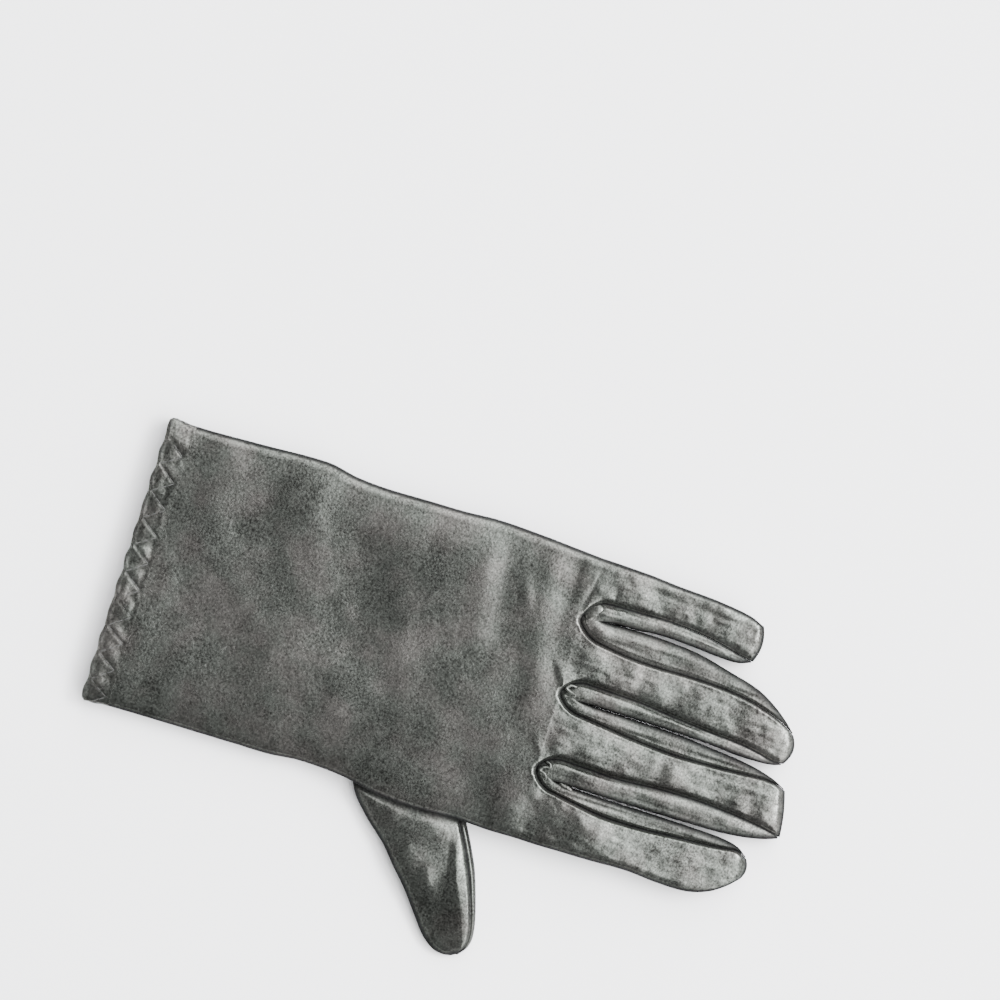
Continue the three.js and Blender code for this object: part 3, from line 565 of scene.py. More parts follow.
def hand_crown(x, y):
    """Height of the back of the hand, without its slack."""
    middle, half = (hand_left(y) + hand_right(y)) / 2, (hand_right(y) - hand_left(y)) / 2
    roundness = np.where(x < middle, BACK_ROUNDNESS, THUMB_SIDE_ROUNDNESS)
    return lerp(BACK_EDGE, hand_loft(y), rounded_fall(abs(x - middle) / half, roundness))


def finger_crown(finger, t, y):
    """Height of a finger's back, without its slack, where t runs from -1 to 1 across it."""
    share = abs(t)
    lipped = lerp(FINGER_LOFT, BACK_LIP, share**2.5 * smooth(HAND_LENGTH - 2, HAND_LENGTH + 14, y))
    plain = lerp(BACK_EDGE, FINGER_LOFT, rounded_fall(share, BACK_ROUNDNESS))
    left, right = finger["fourchette"]
    return np.where(np.where(t < 0, left, right), lipped, plain)


def seam_points(step=0.1):
    """Points along the seams between the back and the strips beside the fingers, for finding the nearest."""
    spots = []
    for i, finger in enumerate(FINGERS):
        for side in (0, 1):
            if finger["fourchette"][side]:
                at = np.linspace(0, 1, int(finger["length"] / step))
                spots += list(zip(*finger_edge(i, side, at), np.zeros(len(at))))
    tree = KDTree(len(spots))
    for number, spot in enumerate(spots):
        tree.insert(spot, number)
    tree.balance()
    return tree


seam_tree = seam_points()


def seam_distance(x, y):
    """How far points are from the nearest seam."""
    return np.array([seam_tree.find((float(a), float(b), 0.0))[2] for a, b in zip(x, y)])


def seam_height(side_seam, top, at):
    """A height along a finger that comes down, or up, to the side seam at the tip."""
    return lerp(side_seam, top, fourchette_fall(at))


def slimmed(finger, z, at):
    """A height of a finger's back, which gets thinner towards the tip."""

    def fall(share):
        past = share - finger["level"]
        return (np.sqrt(past**2 + KNUCKLE_SOFTNESS**2) + past) / 2 / (1 - finger["level"])

    return SIDE_SEAM_HEIGHT + (z - SIDE_SEAM_HEIGHT) * lerp(1, TIP_THINNESS, fall(at) - fall(0))


def back_slack(row):
    """Slack that the solids leave out: folds and waves, and puckers and a lip where the cloth is stitched."""
    x, y = row.x, row.y
    soft = waves(x, y, BACK_WAVES) * smooth(PANEL_START, PANEL_START + HEM_CALM, y)
    soft = soft + waves(x, y, FINGER_WAVES) * smooth(HAND_LENGTH - 8, HAND_LENGTH + 10, y)
    puckers = np.cos(2 * math.pi * y / PUCKER_PITCH) * bead(row.far, *PUCKER_BEAD)
    lip = bead(row.far, *LIP_BEAD) * (row.t < 0)
    return fold_height(x, y, CRESTS, DENTS) + soft + puckers + lip


def back_height(finger, row):
    """Height of the back's outer face at a row of points."""
    reach = np.maximum(row.at, 0)
    plain = lerp(BACK_EDGE, finger_crown(finger, row.t, row.y), crown_fall(reach))
    if row.at < 0:
        knuckles = smooth(HAND_LENGTH - KNUCKLE_BLEND, HAND_LENGTH, row.y)
        plain = lerp(hand_crown(row.x, row.y), plain, knuckles)
    roll = lerp(SEAM_ROLL, SOFT_ROLL, smooth(0, 0.08, reach) * smooth(-0.2, 0.4, row.t))
    pull = (1 - clamp(row.far / roll)) ** 2
    rolled = lerp(plain, seam_height(BACK_EDGE, BACK_SEAM_HEIGHT, reach), pull)
    clear = clamp((plain - BACK_EDGE) / (FINGER_LOFT - BACK_EDGE)) * crown_fall(reach) * (1 - pull)
    outline_roll = bead(row.edge, *OUTLINE_BEAD) * smooth(PANEL_START, PANEL_START + 4, row.y)
    return lifted(slimmed(finger, rolled, reach) + back_slack(row) * clear + outline_roll, row.x, row.y)


def palm_height(finger, row):
    """Height of the palm's outer face at a row of points. It turns up to the side seam at the outline."""
    reach = np.maximum(row.at, 0)
    bend = np.zeros(row.t.shape)
    for side, from_edge in enumerate((1 + row.t, 1 - row.t)):
        if not finger["fourchette"][side]:
            bend = clamp(1 - from_edge * row.width / 2 / EDGE_ROLL)
    flat = PALM_EDGE * (1 - np.sqrt(1 - bend * bend))
    plain = lerp(PALM_EDGE, flat, crown_fall(reach))
    pull = (1 - clamp(row.far / SEAM_ROLL)) ** 2
    slack = (PALM_WAVES[0][0] + waves(row.x, row.y, PALM_WAVES)) * (1 - bend) * crown_fall(reach) * (1 - pull)
    slack = slack * smooth(PANEL_START, PANEL_START + HEM_CALM, row.y)
    rolled = lerp(plain, seam_height(PALM_EDGE, PALM_SEAM_HEIGHT, reach), pull)
    return lifted(rolled + slack, row.x, row.y)


# Meshes


def make_piece(name, points, faces, node, material, slot="coated_cloth"):
    """A piece from rows of x, y and z in millimetres and, if they have it, of dark seam and painted shade
    from 0 to 1.
    """
    mesh = bpy.data.meshes.new(name)
    points = np.asarray(points, float)
    placed = (points[:, :3] - (0, ORIGIN_FROM_WRIST, 0)) * MM
    mesh.from_pydata(placed.tolist(), [], [list(map(int, face)) for face in faces])
    mesh.shade_smooth()
    used = np.zeros(len(mesh.loops), np.int32)
    mesh.loops.foreach_get("edge_index", used)
    rim = np.bincount(used, minlength=len(mesh.edges)) == 1
    mesh.attributes.new("sharp_edge", "BOOLEAN", "EDGE").data.foreach_set("value", rim)
    # A fourth column, where given, is the mask of dark seams and painted shade that darkens the cloth's
    # colour
    seam_dark_and_painted_shade = points[:, 3] if points.shape[1] > 3 else np.zeros(len(points))
    mesh.attributes.new("seam_dark_and_painted_shade", "FLOAT", "POINT").data.foreach_set("value", seam_dark_and_painted_shade.astype(np.float32))
    piece = bpy.data.objects.new(name, mesh)
    bpy.context.scene.collection.objects.link(piece)
    piece.data.materials.append(material)
    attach(piece, "root")
    if node:
        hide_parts(node)
    return piece


def grid_faces(rows, columns, first=0, closed=False):
    """Quads between the points of a grid that are counted row by row."""
    quads = []
    for row in range(rows - 1):
        for column in range(columns if closed else columns - 1):
            after = (column + 1) % columns
            a, b = first + row * columns + column, first + row * columns + after
            quads.append((a, b, b + columns, a + columns))
    return quads


def merged(points, faces, reach=1e-4):
    """Joins points that coincide, so that neighbouring grids share their edge."""
    keys = np.round(np.asarray(points)[:, :3] / reach).astype(np.int64)
    _, first, where = np.unique(keys, axis=0, return_index=True, return_inverse=True)
    where = where.ravel()
    kept = []
    for face in faces:
        corners = [where[i] for i in face]
        corners = [c for k, c in enumerate(corners) if c != corners[k - 1]]
        if len(set(corners)) > 2:
            kept.append(corners)
    return np.asarray(points)[first], kept


def thicken(piece, thickness):
    """Gives a sheet the cloth's own thickness, inwards."""
    solid = piece.modifiers.new("cloth", "SOLIDIFY")
    solid.thickness = thickness * MM
    solid.offset = -1
    solid.use_even_offset = False


def clustered(count, strength):
    """Shares from -1 to 1 that lie closer together towards both ends."""
    u = np.linspace(-1, 1, count)
    return lerp(u, np.sin(u * math.pi / 2), strength)


ACROSS = clustered(PANEL_COLUMNS, 0.7)
HAND_SHARES = lerp(np.linspace(0, 1, HAND_ROWS), np.sin(np.linspace(0, math.pi / 2, HAND_ROWS)), 0.3)
FINGER_SHARES = np.sort(np.r_[np.linspace(0, 1, FINGER_ROWS) ** 1.15, [0.003, 0.99, 0.995, 0.998]])
FINGER_SHARES = lerp(FINGER_SHARES, np.sin(FINGER_SHARES * math.pi / 2), 0.45)


def edge_distance(finger, row):
    """How far a row of points is from the glove's outline, across the finger or towards its tip."""
    far = np.full(row.t.shape, (1 - max(row.at, 0)) * finger["length"])
    for side, share in enumerate(((1 + row.t) / 2, (1 - row.t) / 2)):
        if not finger["fourchette"][side]:
            far = np.minimum(far, share * row.width)
    return far


def seam_dark_and_painted_outline_shade(far, edge):
    """How dark the cloth is painted in a seam, partly the seam's own darker cloth and partly painted shade in
    its groove, and the painted shade along the outline, from 0 to 1.
    """
    outline = OUTLINE_SHADE * (1 - smooth(*OUTLINE_SHADE_WIDTH, edge))
    return np.maximum(SEAM_SHADE * np.exp(-((far / SEAM_SHADE_WIDTH) ** 4)), outline)


def panel(height, flip):
    """One face of the back or the palm panel, strip by strip, as points and faces.

    height gives a row of points its height. A row has t from -1 to 1 across its strip, at along the finger or
    -1 on the hand, its width and, for each point, x, y, far from the nearest seam and edge from the outline.
    """
    points, faces = [], []
    share = (1 + ACROSS) / 2
    for i, finger in enumerate(FINGERS):
        ends = [(division(i, along), division(i + 1, along), -1) for along in HAND_SHARES[:-1]]
        ends += [(finger_edge(i, 0, at), finger_edge(i, 1, at), at) for at in FINGER_SHARES]
        first = sum(len(p) for p in points)
        for left, right, at in ends:
            row = SimpleNamespace(t=ACROSS, at=at, width=right[0] - left[0])
            row.x, row.y = lerp(left[0], right[0], share), lerp(left[1], right[1], share)
            row.far = seam_distance(row.x, row.y)
            row.y = row.y - tip_drop(finger, ACROSS, at)
            row.edge = edge_distance(finger, row)
            # The fourth column is painted shade along the outline and in the seams, which are partly their
            # own darker cloth
            columns = row.x, row.y, height(finger, row), seam_dark_and_painted_outline_shade(row.far, row.edge)
            points.append(np.stack(np.broadcast_arrays(*columns), axis=1))
        faces += grid_faces(len(ends), len(ACROSS), first)
    points, faces = merged(np.concatenate(points), faces)
    return points, [face[::-1] for face in faces] if flip else faces


def fourchette(i, side):
    """The strip along one side of a finger: from the back's seam to its fold and in to the palm's seam."""
    finger = FINGERS[i]
    v = clustered(STRIP_COLUMNS, 0.5)[None, :]
    at = (np.linspace(0, 1, STRIP_ROWS) ** 1.1 * STRIP_END)[:, None]
    seam, fold = finger_edge(i, side, at), finger_fold(i, side, at)
    wide = np.hypot(fold[0] - seam[0], fold[1] - seam[1])
    away = np.minimum(SEAM_GAP, 0.4 * wide) / np.maximum(wide, 1e-6)
    out = abs(np.cos(v * math.pi / 2)) ** STRIP_CLUSTERING
    x = lerp(lerp(seam[0], fold[0], away), fold[0], out)
    y = lerp(lerp(seam[1], fold[1], away), fold[1], out)

    up = v < 0
    top, bottom = (seam_height(SIDE_SEAM_HEIGHT, z, at) for z in (FOURCHETTE_TOP, FOURCHETTE_BOTTOM))
    upper, lower = seam_height(BACK_EDGE, BACK_SEAM_HEIGHT, at), seam_height(PALM_EDGE, PALM_SEAM_HEIGHT, at)
    crest, edge = np.where(up, top, bottom), np.where(up, upper, lower)
    bulge = lerp(SIDE_SEAM_HEIGHT, crest, rounded_fall(out, STRIP_ROUNDNESS))
    z = lerp(bulge, edge, 1 - smooth(0, STRIP_ROLL[side] / np.maximum(wide, 2), out))
    streaks = waves(x, y, [(*look, seed + i) for *look, seed in STRIP_WAVES])
    z = np.where(up, slimmed(finger, z, at), z) + streaks * out * (1 - out) * 4

    # Painted shade at the strip's seam and in a band along its fold
    seam_shade = np.exp(-((out * wide / STRIP_SEAM_SHADE_WIDTH) ** 4))
    seam_dark_and_painted_shade = np.maximum(seam_shade, bead((1 - out) * wide, 1, 0, STRIP_FOLD_SHADE_WIDTH))
    y = y - tip_drop(finger, 2 * side - 1, at)
    points = np.stack(np.broadcast_arrays(x, y, z, seam_dark_and_painted_shade), axis=2).reshape(-1, 4)
    faces = grid_faces(at.size, v.size)
    return points, [face[::-1] for face in faces] if side == 0 else faces


def thumb_detail(x, y, edge):
    """Height of the thumb's folds and its seam, and the painted shade in the seam's groove, at distances from
    its upper edge.
    """
    seam = edge - lerp(THUMB_SEAM, THUMB_TIP_SEAM, smooth(*THUMB_SEAM_TURN, x))
    groove = bead(seam, 1, 0, THUMB_SEAM_WIDTH)
    folds = fold_height(x, y, THUMB_CRESTS, THUMB_DENTS)
    height = folds - THUMB_SEAM_DEPTH * groove + waves(x, y, THUMB_WAVES)
    return height, groove * lerp(1, 0.5, smooth(*THUMB_SEAM_FADE, x))


def thumb_points():
    """The thumb's outer face, in rows along it and columns round it, with each point's painted shade along
    its seam and outline and in the hand's shadow.
    """
    low, high, loft = (curve(THUMB, name) for name in ("low", "high", "loft"))
    root = -THUMB_ROOT / THUMB_LENGTH
    at = lerp(root, THUMB["at"][-1], np.sin(np.linspace(0, math.pi / 2, THUMB_ROWS)) ** 0.9)[:, None]
    above = np.linspace(0, math.pi, THUMB_UPPER_COLUMNS, endpoint=False)
    below = np.linspace(math.pi, 2 * math.pi, THUMB_LOWER_COLUMNS, endpoint=False)
    angle = np.r_[above, below][None, :]
    over = angle < math.pi
    roundness = lerp(THUMB_ROUNDNESS, THUMB_TIP_ROUNDNESS, smooth(0.4, 0.85, at))
    power = np.where(over, 2 / roundness, 2 / THUMB_SOLE_FLATNESS)
    wide = np.sign(np.cos(angle)) * abs(np.cos(angle)) ** power
    rise = abs(np.sin(angle)) ** power
    middle = (low(at) + high(at)) / 2 * THUMB_WIDTH
    half = (high(at) - low(at)) / 2 * THUMB_WIDTH
    across = middle + half * wide
    x = thumb_root[0] + at * THUMB_LENGTH * thumb_line[0] + across * thumb_side[0]
    y = thumb_root[1] + at * THUMB_LENGTH * thumb_line[1] + across * thumb_side[1]

    waist = THUMB_WAIST * THUMB_LOFT * loft(at)
    tilt = lerp(THUMB_ROOT_TILT, THUMB_TILT, smooth(0.28, 0.62, at)) * loft(at)
    crest = loft(at) * THUMB_LOFT - tilt * clamp((THUMB_CREST - wide) / (1 + THUMB_CREST)) ** 1.3
    upper, lower, end = half * (1 - wide), half * (1 + wide), (THUMB["at"][-1] - at) * THUMB_LENGTH
    detail, seam = thumb_detail(x, y, upper)
    beside = x - hand_right(y)
    shown = smooth(-3, 0, beside) * smooth(0, 0.35, rise) * over
    z = lerp(waist, np.where(over, crest, 0), rise) + detail * shown

    # Painted shade along the thumb's outline, and a painted shadow where the hand's edge lies over it
    rim = 1 - smooth(*THUMB_OUTLINE_SHADE_WIDTH, np.minimum(lower, end))
    outline = OUTLINE_SHADE * np.maximum(rim, 0.2 * (1 - smooth(0.1, 0.4, upper)))
    painted_covered_shadow = COVERED_SHADE * (1 - smooth(*COVERED_SHADE_WIDTH, beside)) * over
    seam_dark_and_painted_shade = np.maximum(np.maximum(seam * shown, outline), painted_covered_shadow)
    return np.stack(np.broadcast_arrays(x, y, z, seam_dark_and_painted_shade), axis=2)


def hem_ring(y, inset):
    """One ring of the hem: points at equal distances round the wrist, inset from its outer face."""
    left, right = hand_left(y) + inset, hand_right(y) - inset
    middle, half = (left + right) / 2, (right - left) / 2
    angle = np.linspace(0, 2 * math.pi, HEM_SHAPE_POINTS)
    share = np.cos(angle)
    bend = clamp(1 - half * (1 - abs(share)) / (EDGE_ROLL - inset))
    under = (SIDE_SEAM_HEIGHT - inset) * (1 - np.sqrt(1 - bend * bend)) + inset
    roundness = np.where(share < 0, BACK_ROUNDNESS, THUMB_SIDE_ROUNDNESS)
    over = lerp(SIDE_SEAM_HEIGHT, hand_loft(y) - inset, rounded_fall(abs(share), roundness))
    x, z = middle + half * share, np.where(angle < math.pi, over, under)
    run = np.r_[0, np.cumsum(np.hypot(np.diff(x), np.diff(z)))]
    at = np.linspace(0, run[-1], HEM_COLUMNS, endpoint=False)
    return np.stack([np.interp(at, run, x), np.full(HEM_COLUMNS, float(y)), np.interp(at, run, z)], axis=1)


def hem_face():
    """The hem's outer face as a list of rings, with the creases and pockets that its zigzag makes, and
    painted shade in them.
    """
    unevenness = np.random.default_rng(HEM_SEED).uniform(WEAKEST_STITCH, 1, HEM_STITCHES)
    number, phase = np.divmod(np.arange(HEM_COLUMNS) / STITCH_COLUMNS, 1)
    strength = unevenness[number.astype(int)]
    zigzag = lerp(LOW_STITCH, HIGH_STITCH, 1 - abs(2 * phase - 1)) * HEM_WIDTH
    start = hem_ring(0, 0)
    pitch_width = np.hypot(*(start[1] - start[0])[[0, 2]]) * STITCH_COLUMNS
    from_low, from_high = (abs(phase - 0.5) - 0.5) * pitch_width, (phase - 0.5) * pitch_width
    scallop = SCALLOP * np.cos(2 * math.pi * phase) * strength
    rings = []
    for share in np.r_[np.linspace(0, 0.985, HEM_ROWS), 0.995, 1]:
        y = share * HEM_WIDTH
        sewn = strength * (1 - smooth(7.2, 8.8, y))
        groove = sewn * bead(abs(y - zigzag), *GROOVE_BEAD)
        pocket = strength * bead(from_high, *POCKET_BEADS[0]) * bead(y, *POCKET_BEADS[1])
        puff = strength * bead(from_low, *PUFF_BEADS[0]) * bead(y, *PUFF_BEADS[1])
        mouth = MOUTH_DEPTH * (1 - smooth(0, 1, y))
        ring = hem_ring(y, 0)
        slack = waves(ring[:, 0] + 7, y + 1.3 * ring[:, 2], HEM_WAVES) * (1 - smooth(6.5, 8.6, y))
        depth = np.maximum(np.maximum(groove, mouth), pocket) - puff + slack
        ring = lerp(ring, hem_ring(y, 1), depth[:, None])
        ring[:, 1] += scallop * (1 - share) ** 3
        ring[:, 2] = np.maximum(ring[:, 2], 0)
        # Painted shade in the zigzag's groove and in its pockets
        seam_dark_and_painted_shade = sewn * bead(abs(y - zigzag), *STITCH_SHADE)
        painted_pocket_shade = bead(from_high, *POCKET_SHADES[0]) * bead(y, *POCKET_SHADES[1])
        seam_dark_and_painted_shade = np.maximum(seam_dark_and_painted_shade, painted_pocket_shade)
        rings.append(np.column_stack([ring, seam_dark_and_painted_shade]))
    return rings


def hem_shape():
    """The hem as a closed ring of cloth: its outer face, and its inner face back to the wrist edge."""
    inner = [hem_ring(y, HEM_CLOTH) for y in np.linspace(HEM_WIDTH, 0.5, HEM_INNER_ROWS)]
    rings = hem_face() + [np.column_stack([ring, np.zeros(HEM_COLUMNS)]) for ring in inner]
    faces = grid_faces(len(rings), HEM_COLUMNS, closed=True)
    last = (len(rings) - 1) * HEM_COLUMNS
    for column in range(HEM_COLUMNS):
        after = (column + 1) % HEM_COLUMNS
        faces.append((last + column, last + after, after, column))
    return np.concatenate(rings), [face[::-1] for face in faces]


def tube(centres, across, raised, wide, tall, sides):
    """A tube through centres, whose sections reach wide along across and tall along raised.

    It is returned as points, faces and how far each point lies to the side, from 0 to 1.
    """
    angle = np.arange(sides) / sides * 2 * math.pi
    turn = np.stack([np.cos(angle), np.sin(angle)])[:, None, :, None]
    ring = centres[:, None, :] + (across * wide)[:, None, :] * turn[0] + (raised * tall)[:, None, :] * turn[1]
    ring[:, :, 2] = np.maximum(ring[:, :, 2], 0)
    faces = grid_faces(len(centres), sides, closed=True)
    faces.append(tuple(range(sides))[::-1])
    faces.append(tuple(range((len(centres) - 1) * sides, len(centres) * sides)))
    return ring.reshape(-1, 3), faces, np.tile(abs(np.cos(angle)), len(centres))


def joined(parts):
    """Several lists of points and faces as one."""
    points, faces, first = [], [], 0
    for part_points, part_faces in parts:
        points.append(part_points)
        faces += [tuple(first + k for k in face) for face in part_faces]
        first += len(part_points)
    return np.concatenate(points), faces


def hem_spot(leg, part, up):
    """A point of the zigzag on the hem's outer face, and the direction out of the cloth there."""
    y = lerp(LOW_STITCH, HIGH_STITCH, up) * HEM_WIDTH
    column, rest = divmod((leg + part) / 2 * STITCH_COLUMNS, 1)
    near, after = int(column) % HEM_COLUMNS, (int(column) + 1) % HEM_COLUMNS
    face, core = hem_ring(y, 0), hem_ring(y, 1)
    spot = lerp(face[near], face[after], rest)
    out = spot - lerp(core[near], core[after], rest)
    return spot, out / np.linalg.norm(out)


def hem_stitches():
    """The thread of the zigzag: short stitches on each leg, sunk into the cloth at their ends."""
    parts = []
    for leg in range(2 * HEM_STITCHES):
        for k in range(LEG_STITCHES):
            share = np.linspace(*(k + STITCH_ENDS) / LEG_STITCHES, 7)
            up = share if leg % 2 == 0 else 1 - share
            spots = [hem_spot(leg, part, height) for part, height in zip(share, up)]
            centres, outward = map(np.array, zip(*spots))
            arch = np.sin(np.linspace(0, math.pi, len(centres)))[:, None]
            centres = centres + outward * (STITCH_ARCH * arch - STITCH_DEPTH)
            along = np.gradient(centres, axis=0)
            across = np.cross(outward, along / np.linalg.norm(along, axis=1)[:, None])
            ring, faces, _ = tube(centres, across, outward, THREAD, THREAD, sides=6)
            parts.append((ring, faces))
    return joined(parts)


def tuck(path, wide, tall, z, shade):
    """A small soft fold along a path of x and y, which tapers towards its ends and has painted shade at its
    sides.
    """
    path = np.array(path).reshape(-1, 2)
    run = np.r_[0, np.cumsum(np.hypot(*np.diff(path, axis=0).T))]
    rows = dict(at=run / run[-1], x=path[:, 0], y=path[:, 1])
    share = np.linspace(0, 1, 10 * len(path))
    x, y = curve(rows, "x")(share), curve(rows, "y")(share)
    along = np.stack([np.gradient(x), np.gradient(y), np.zeros(len(x))], axis=1)
    along /= np.linalg.norm(along, axis=1)[:, None]
    across = np.cross((0, 0, 1), along)
    taper = np.sqrt(1 - abs(2 * share - 1) ** 3 * 0.98)[:, None]
    centres = np.stack([x, y, np.full(len(x), z)], axis=1)
    raised = np.broadcast_to((0.0, 0.0, 1.0), centres.shape)
    ring, faces, side = tube(centres, across, raised, wide * taper, tall * taper, sides=14)
    return np.column_stack([ring, shade * smooth(0.75, 0.95, side)]), faces


# Materials

# Noises of the coating: scale, detail and roughness
CLOTH_NOISE = (
    ("grain", 1500, 3, 0.65),
    ("speckle", 700, 2, 0.6),
    ("mottle", 70, 3, 0.6),
    ("patches", 75, 2, 0.5),
)
MOTTLE_SHARE = 0.35
# Values of plain cloth and of cloth under full painted shade, as in a dark seam
METALLIC = (0.9, 0.3)
SEAM_ROUGHNESS = (0, 0.5)
# Roughness of the cloth between its shiniest and its dullest specks
ROUGHNESS = (0.19, 0.32)
SPECULAR_TINT = (0.45, 0.45, 0.48, 1)
# The colour of painted shade, and of the seams' own darker cloth
SEAM_AND_PAINTED_SHADE_TINT = (0.1, 0.1, 0.105, 1)
# Strength and depth of the grain that the light picks out
COARSE_BUMP, FINE_BUMP = (0.3, 0.00016), (0.3, 0.00006)
# Colours by position
PEWTER = ((0.36, (0.0195, 0.02, 0.0182)), (0.66, (0.138, 0.142, 0.131)))
TINTS = ((0.42, (0.965, 1, 0.975)), (0.66, (1, 0.945, 0.95)))
THREAD_GREYS = ((0, (0.02, 0.02, 0.019)), (1, (0.075, 0.076, 0.072)))


def node(tree, kind, **values):
    """A new node with its settings and its inputs' values."""
    made = tree.nodes.new(kind)
    for name, value in values.items():
        if name in made.inputs:
            made.inputs[name].default_value = value
        else:
            setattr(made, name, value)
    return made


def mapped(tree, source, low, high):
    """A source that runs from 0 to 1, taken to the range from low to high."""
    span = node(tree, "ShaderNodeMapRange", **{"To Min": low, "To Max": high})
    tree.links.new(source, span.inputs["Value"])
    return span.outputs[0]


def coloured(tree, source, stops):
    """A source turned into colours between two stops, each a position and a colour."""
    ramp = node(tree, "ShaderNodeValToRGB")
    for element, (position, colour) in zip(ramp.color_ramp.elements, stops):
        element.position = position
        element.color = (*colour, 1)
    tree.links.new(source, ramp.inputs[0])
    return ramp.outputs[0]


def multiply(tree, **values):
    """A node that mixes its colour A with A times B, by its factor."""
    return node(tree, "ShaderNodeMix", data_type="RGBA", blend_type="MULTIPLY", **values)


def cloth_colour(tree, noise, seam_dark_and_painted_shade):
    """Dark specks on pewter, faint patches of green and pink, and painted shade in the seams, folds and hem,
    along the outline and under the hand's edge, with the seams partly their own darker cloth.
    """
    tone = node(tree, "ShaderNodeMix", data_type="FLOAT", Factor=MOTTLE_SHARE)
    tree.links.new(noise["grain"], tone.inputs[2])
    tree.links.new(noise["mottle"], tone.inputs[3])
    tinted = multiply(tree, Factor=1)
    tree.links.new(coloured(tree, tone.outputs[0], PEWTER), tinted.inputs["A"])
    tree.links.new(coloured(tree, noise["patches"], TINTS), tinted.inputs["B"])
    # Painted shade: the mask of dark seams and painted shade darkens the colour towards this tint
    seam_dark_and_painted_shade_mix = multiply(tree, B=SEAM_AND_PAINTED_SHADE_TINT)
    tree.links.new(seam_dark_and_painted_shade, seam_dark_and_painted_shade_mix.inputs["Factor"])
    tree.links.new(tinted.outputs["Result"], seam_dark_and_painted_shade_mix.inputs["A"])
    return seam_dark_and_painted_shade_mix.outputs["Result"]


def new_material(name):
    """A material, its node tree and its shader."""
    material = bpy.data.materials.new(name)
    material.use_nodes = True
    return material, material.node_tree, material.node_tree.nodes["Principled BSDF"]


def coated_cloth():
    """Stretch cloth with a thin pewter coating: speckled grain, soft sheen, and dull seams, with painted
    shade darkening the seams, folds and outline.
    """
    material, tree, shader = new_material("coated_cloth")
    link = tree.links.new
    shader.inputs["Specular Tint"].default_value = SPECULAR_TINT
    shader.inputs["Specular IOR Level"].default_value = 0.2

    place = node(tree, "ShaderNodeTexCoord").outputs["Object"]
    # The mask of dark seams and painted shade, which darkens the colour and dulls the cloth
    seam_dark_and_painted_shade = node(tree, "ShaderNodeAttribute", attribute_name="seam_dark_and_painted_shade").outputs["Fac"]
    noise = {}
    for name, scale, detail, roughness in CLOTH_NOISE:
        texture = node(tree, "ShaderNodeTexNoise", Scale=scale, Detail=detail, Roughness=roughness)
        link(place, texture.inputs["Vector"])
        noise[name] = texture.outputs[0]

    link(cloth_colour(tree, noise, seam_dark_and_painted_shade), shader.inputs["Base Color"])
    link(mapped(tree, seam_dark_and_painted_shade, *METALLIC), shader.inputs["Metallic"])
    rough = node(tree, "ShaderNodeMath", operation="ADD")
    link(mapped(tree, noise["speckle"], *ROUGHNESS), rough.inputs[0])
    link(mapped(tree, seam_dark_and_painted_shade, *SEAM_ROUGHNESS), rough.inputs[1])
    link(rough.outputs[0], shader.inputs["Roughness"])

    coarse, fine = (
        node(tree, "ShaderNodeBump", Strength=strength, Distance=depth)
        for strength, depth in (COARSE_BUMP, FINE_BUMP)
    )
    link(noise["speckle"], coarse.inputs["Height"])
    link(noise["grain"], fine.inputs["Height"])
    link(coarse.outputs[0], fine.inputs["Normal"])
    link(fine.outputs[0], shader.inputs["Normal"])
    return material


def stitch_thread():
    """Dark matt thread with a fine twist."""
    material, tree, shader = new_material("stitch_thread")
    shader.inputs["Roughness"].default_value = 0.7
    twist = node(tree, "ShaderNodeTexNoise", Scale=4000, Detail=2)
    tree.links.new(coloured(tree, twist.outputs[0], THREAD_GREYS), shader.inputs["Base Color"])
    return material


cloth_material = coated_cloth()
thread_material = stitch_thread()

# The pieces


def make_panels():
    """The back, and the palm with the hole that the thumb comes out of."""
    points, faces = panel(back_height, False)
    thicken(make_piece("back", points, faces, "back_panel", cloth_material), CLOTH)

    points, faces = panel(palm_height, True)
    centres = np.array([points[face].mean(axis=0) for face in faces])
    out, across = thumb_place(centres[:, 0], centres[:, 1])
    low, high = (curve(THUMB, name)(out / THUMB_LENGTH) * THUMB_WIDTH for name in ("low", "high"))
    inside = (out > HOLE_MARGIN - THUMB_ROOT) & (centres[:, 2] < HOLE_TOP) & (centres[:, 2] > HOLE_BOTTOM)
    inside &= (across > low + HOLE_MARGIN) & (across < high - HOLE_MARGIN)
    faces = [face for face, gone in zip(faces, inside) if not gone]
    thicken(make_piece("palm", points, faces, "palm_panel", cloth_material), CLOTH)


def make_strips():
    """The strips beside the fingers, one for each fourchette of the CAD."""
    for i, finger in enumerate(FINGERS):
        for side, word in ((0, "left"), (1, "right")):
            if finger["fourchette"][side]:
                name = f"{finger['name']}_fourchette_{word}"
                strip = make_piece(f"{name}_cloth", *fourchette(i, side), name, cloth_material)
                thicken(strip, STRIP_CLOTH)


def make_thumb():
    """The thumb, without what would lie above the palm inside the hand."""
    grid = thumb_points()
    rows, columns = grid.shape[:2]
    points = grid.reshape(-1, 4)
    faces = grid_faces(rows, columns, closed=True)
    faces.append(tuple(range((rows - 1) * columns, rows * columns)))
    palm_above = lifted(0.0, points[:, 0], points[:, 1]) + PALM_CLEARANCE
    keep = (points[:, 2] < palm_above) | (points[:, 0] > hand_right(points[:, 1]) + EDGE_CLEARANCE)
    faces = [face for face in faces if all(keep[list(face)])]
    thicken(make_piece("thumb_cloth", points, faces, "thumb", cloth_material), THUMB_CLOTH)


make_panels()
make_strips()
make_thumb()
make_piece("hem", *hem_shape(), "cuff_hem", cloth_material)
make_piece("hem_stitching", *hem_stitches(), None, thread_material, "stitch_thread")
make_piece("fork_tucks", *joined([tuck(*row) for row in TUCKS]), None, cloth_material)

# Floor, light and camera

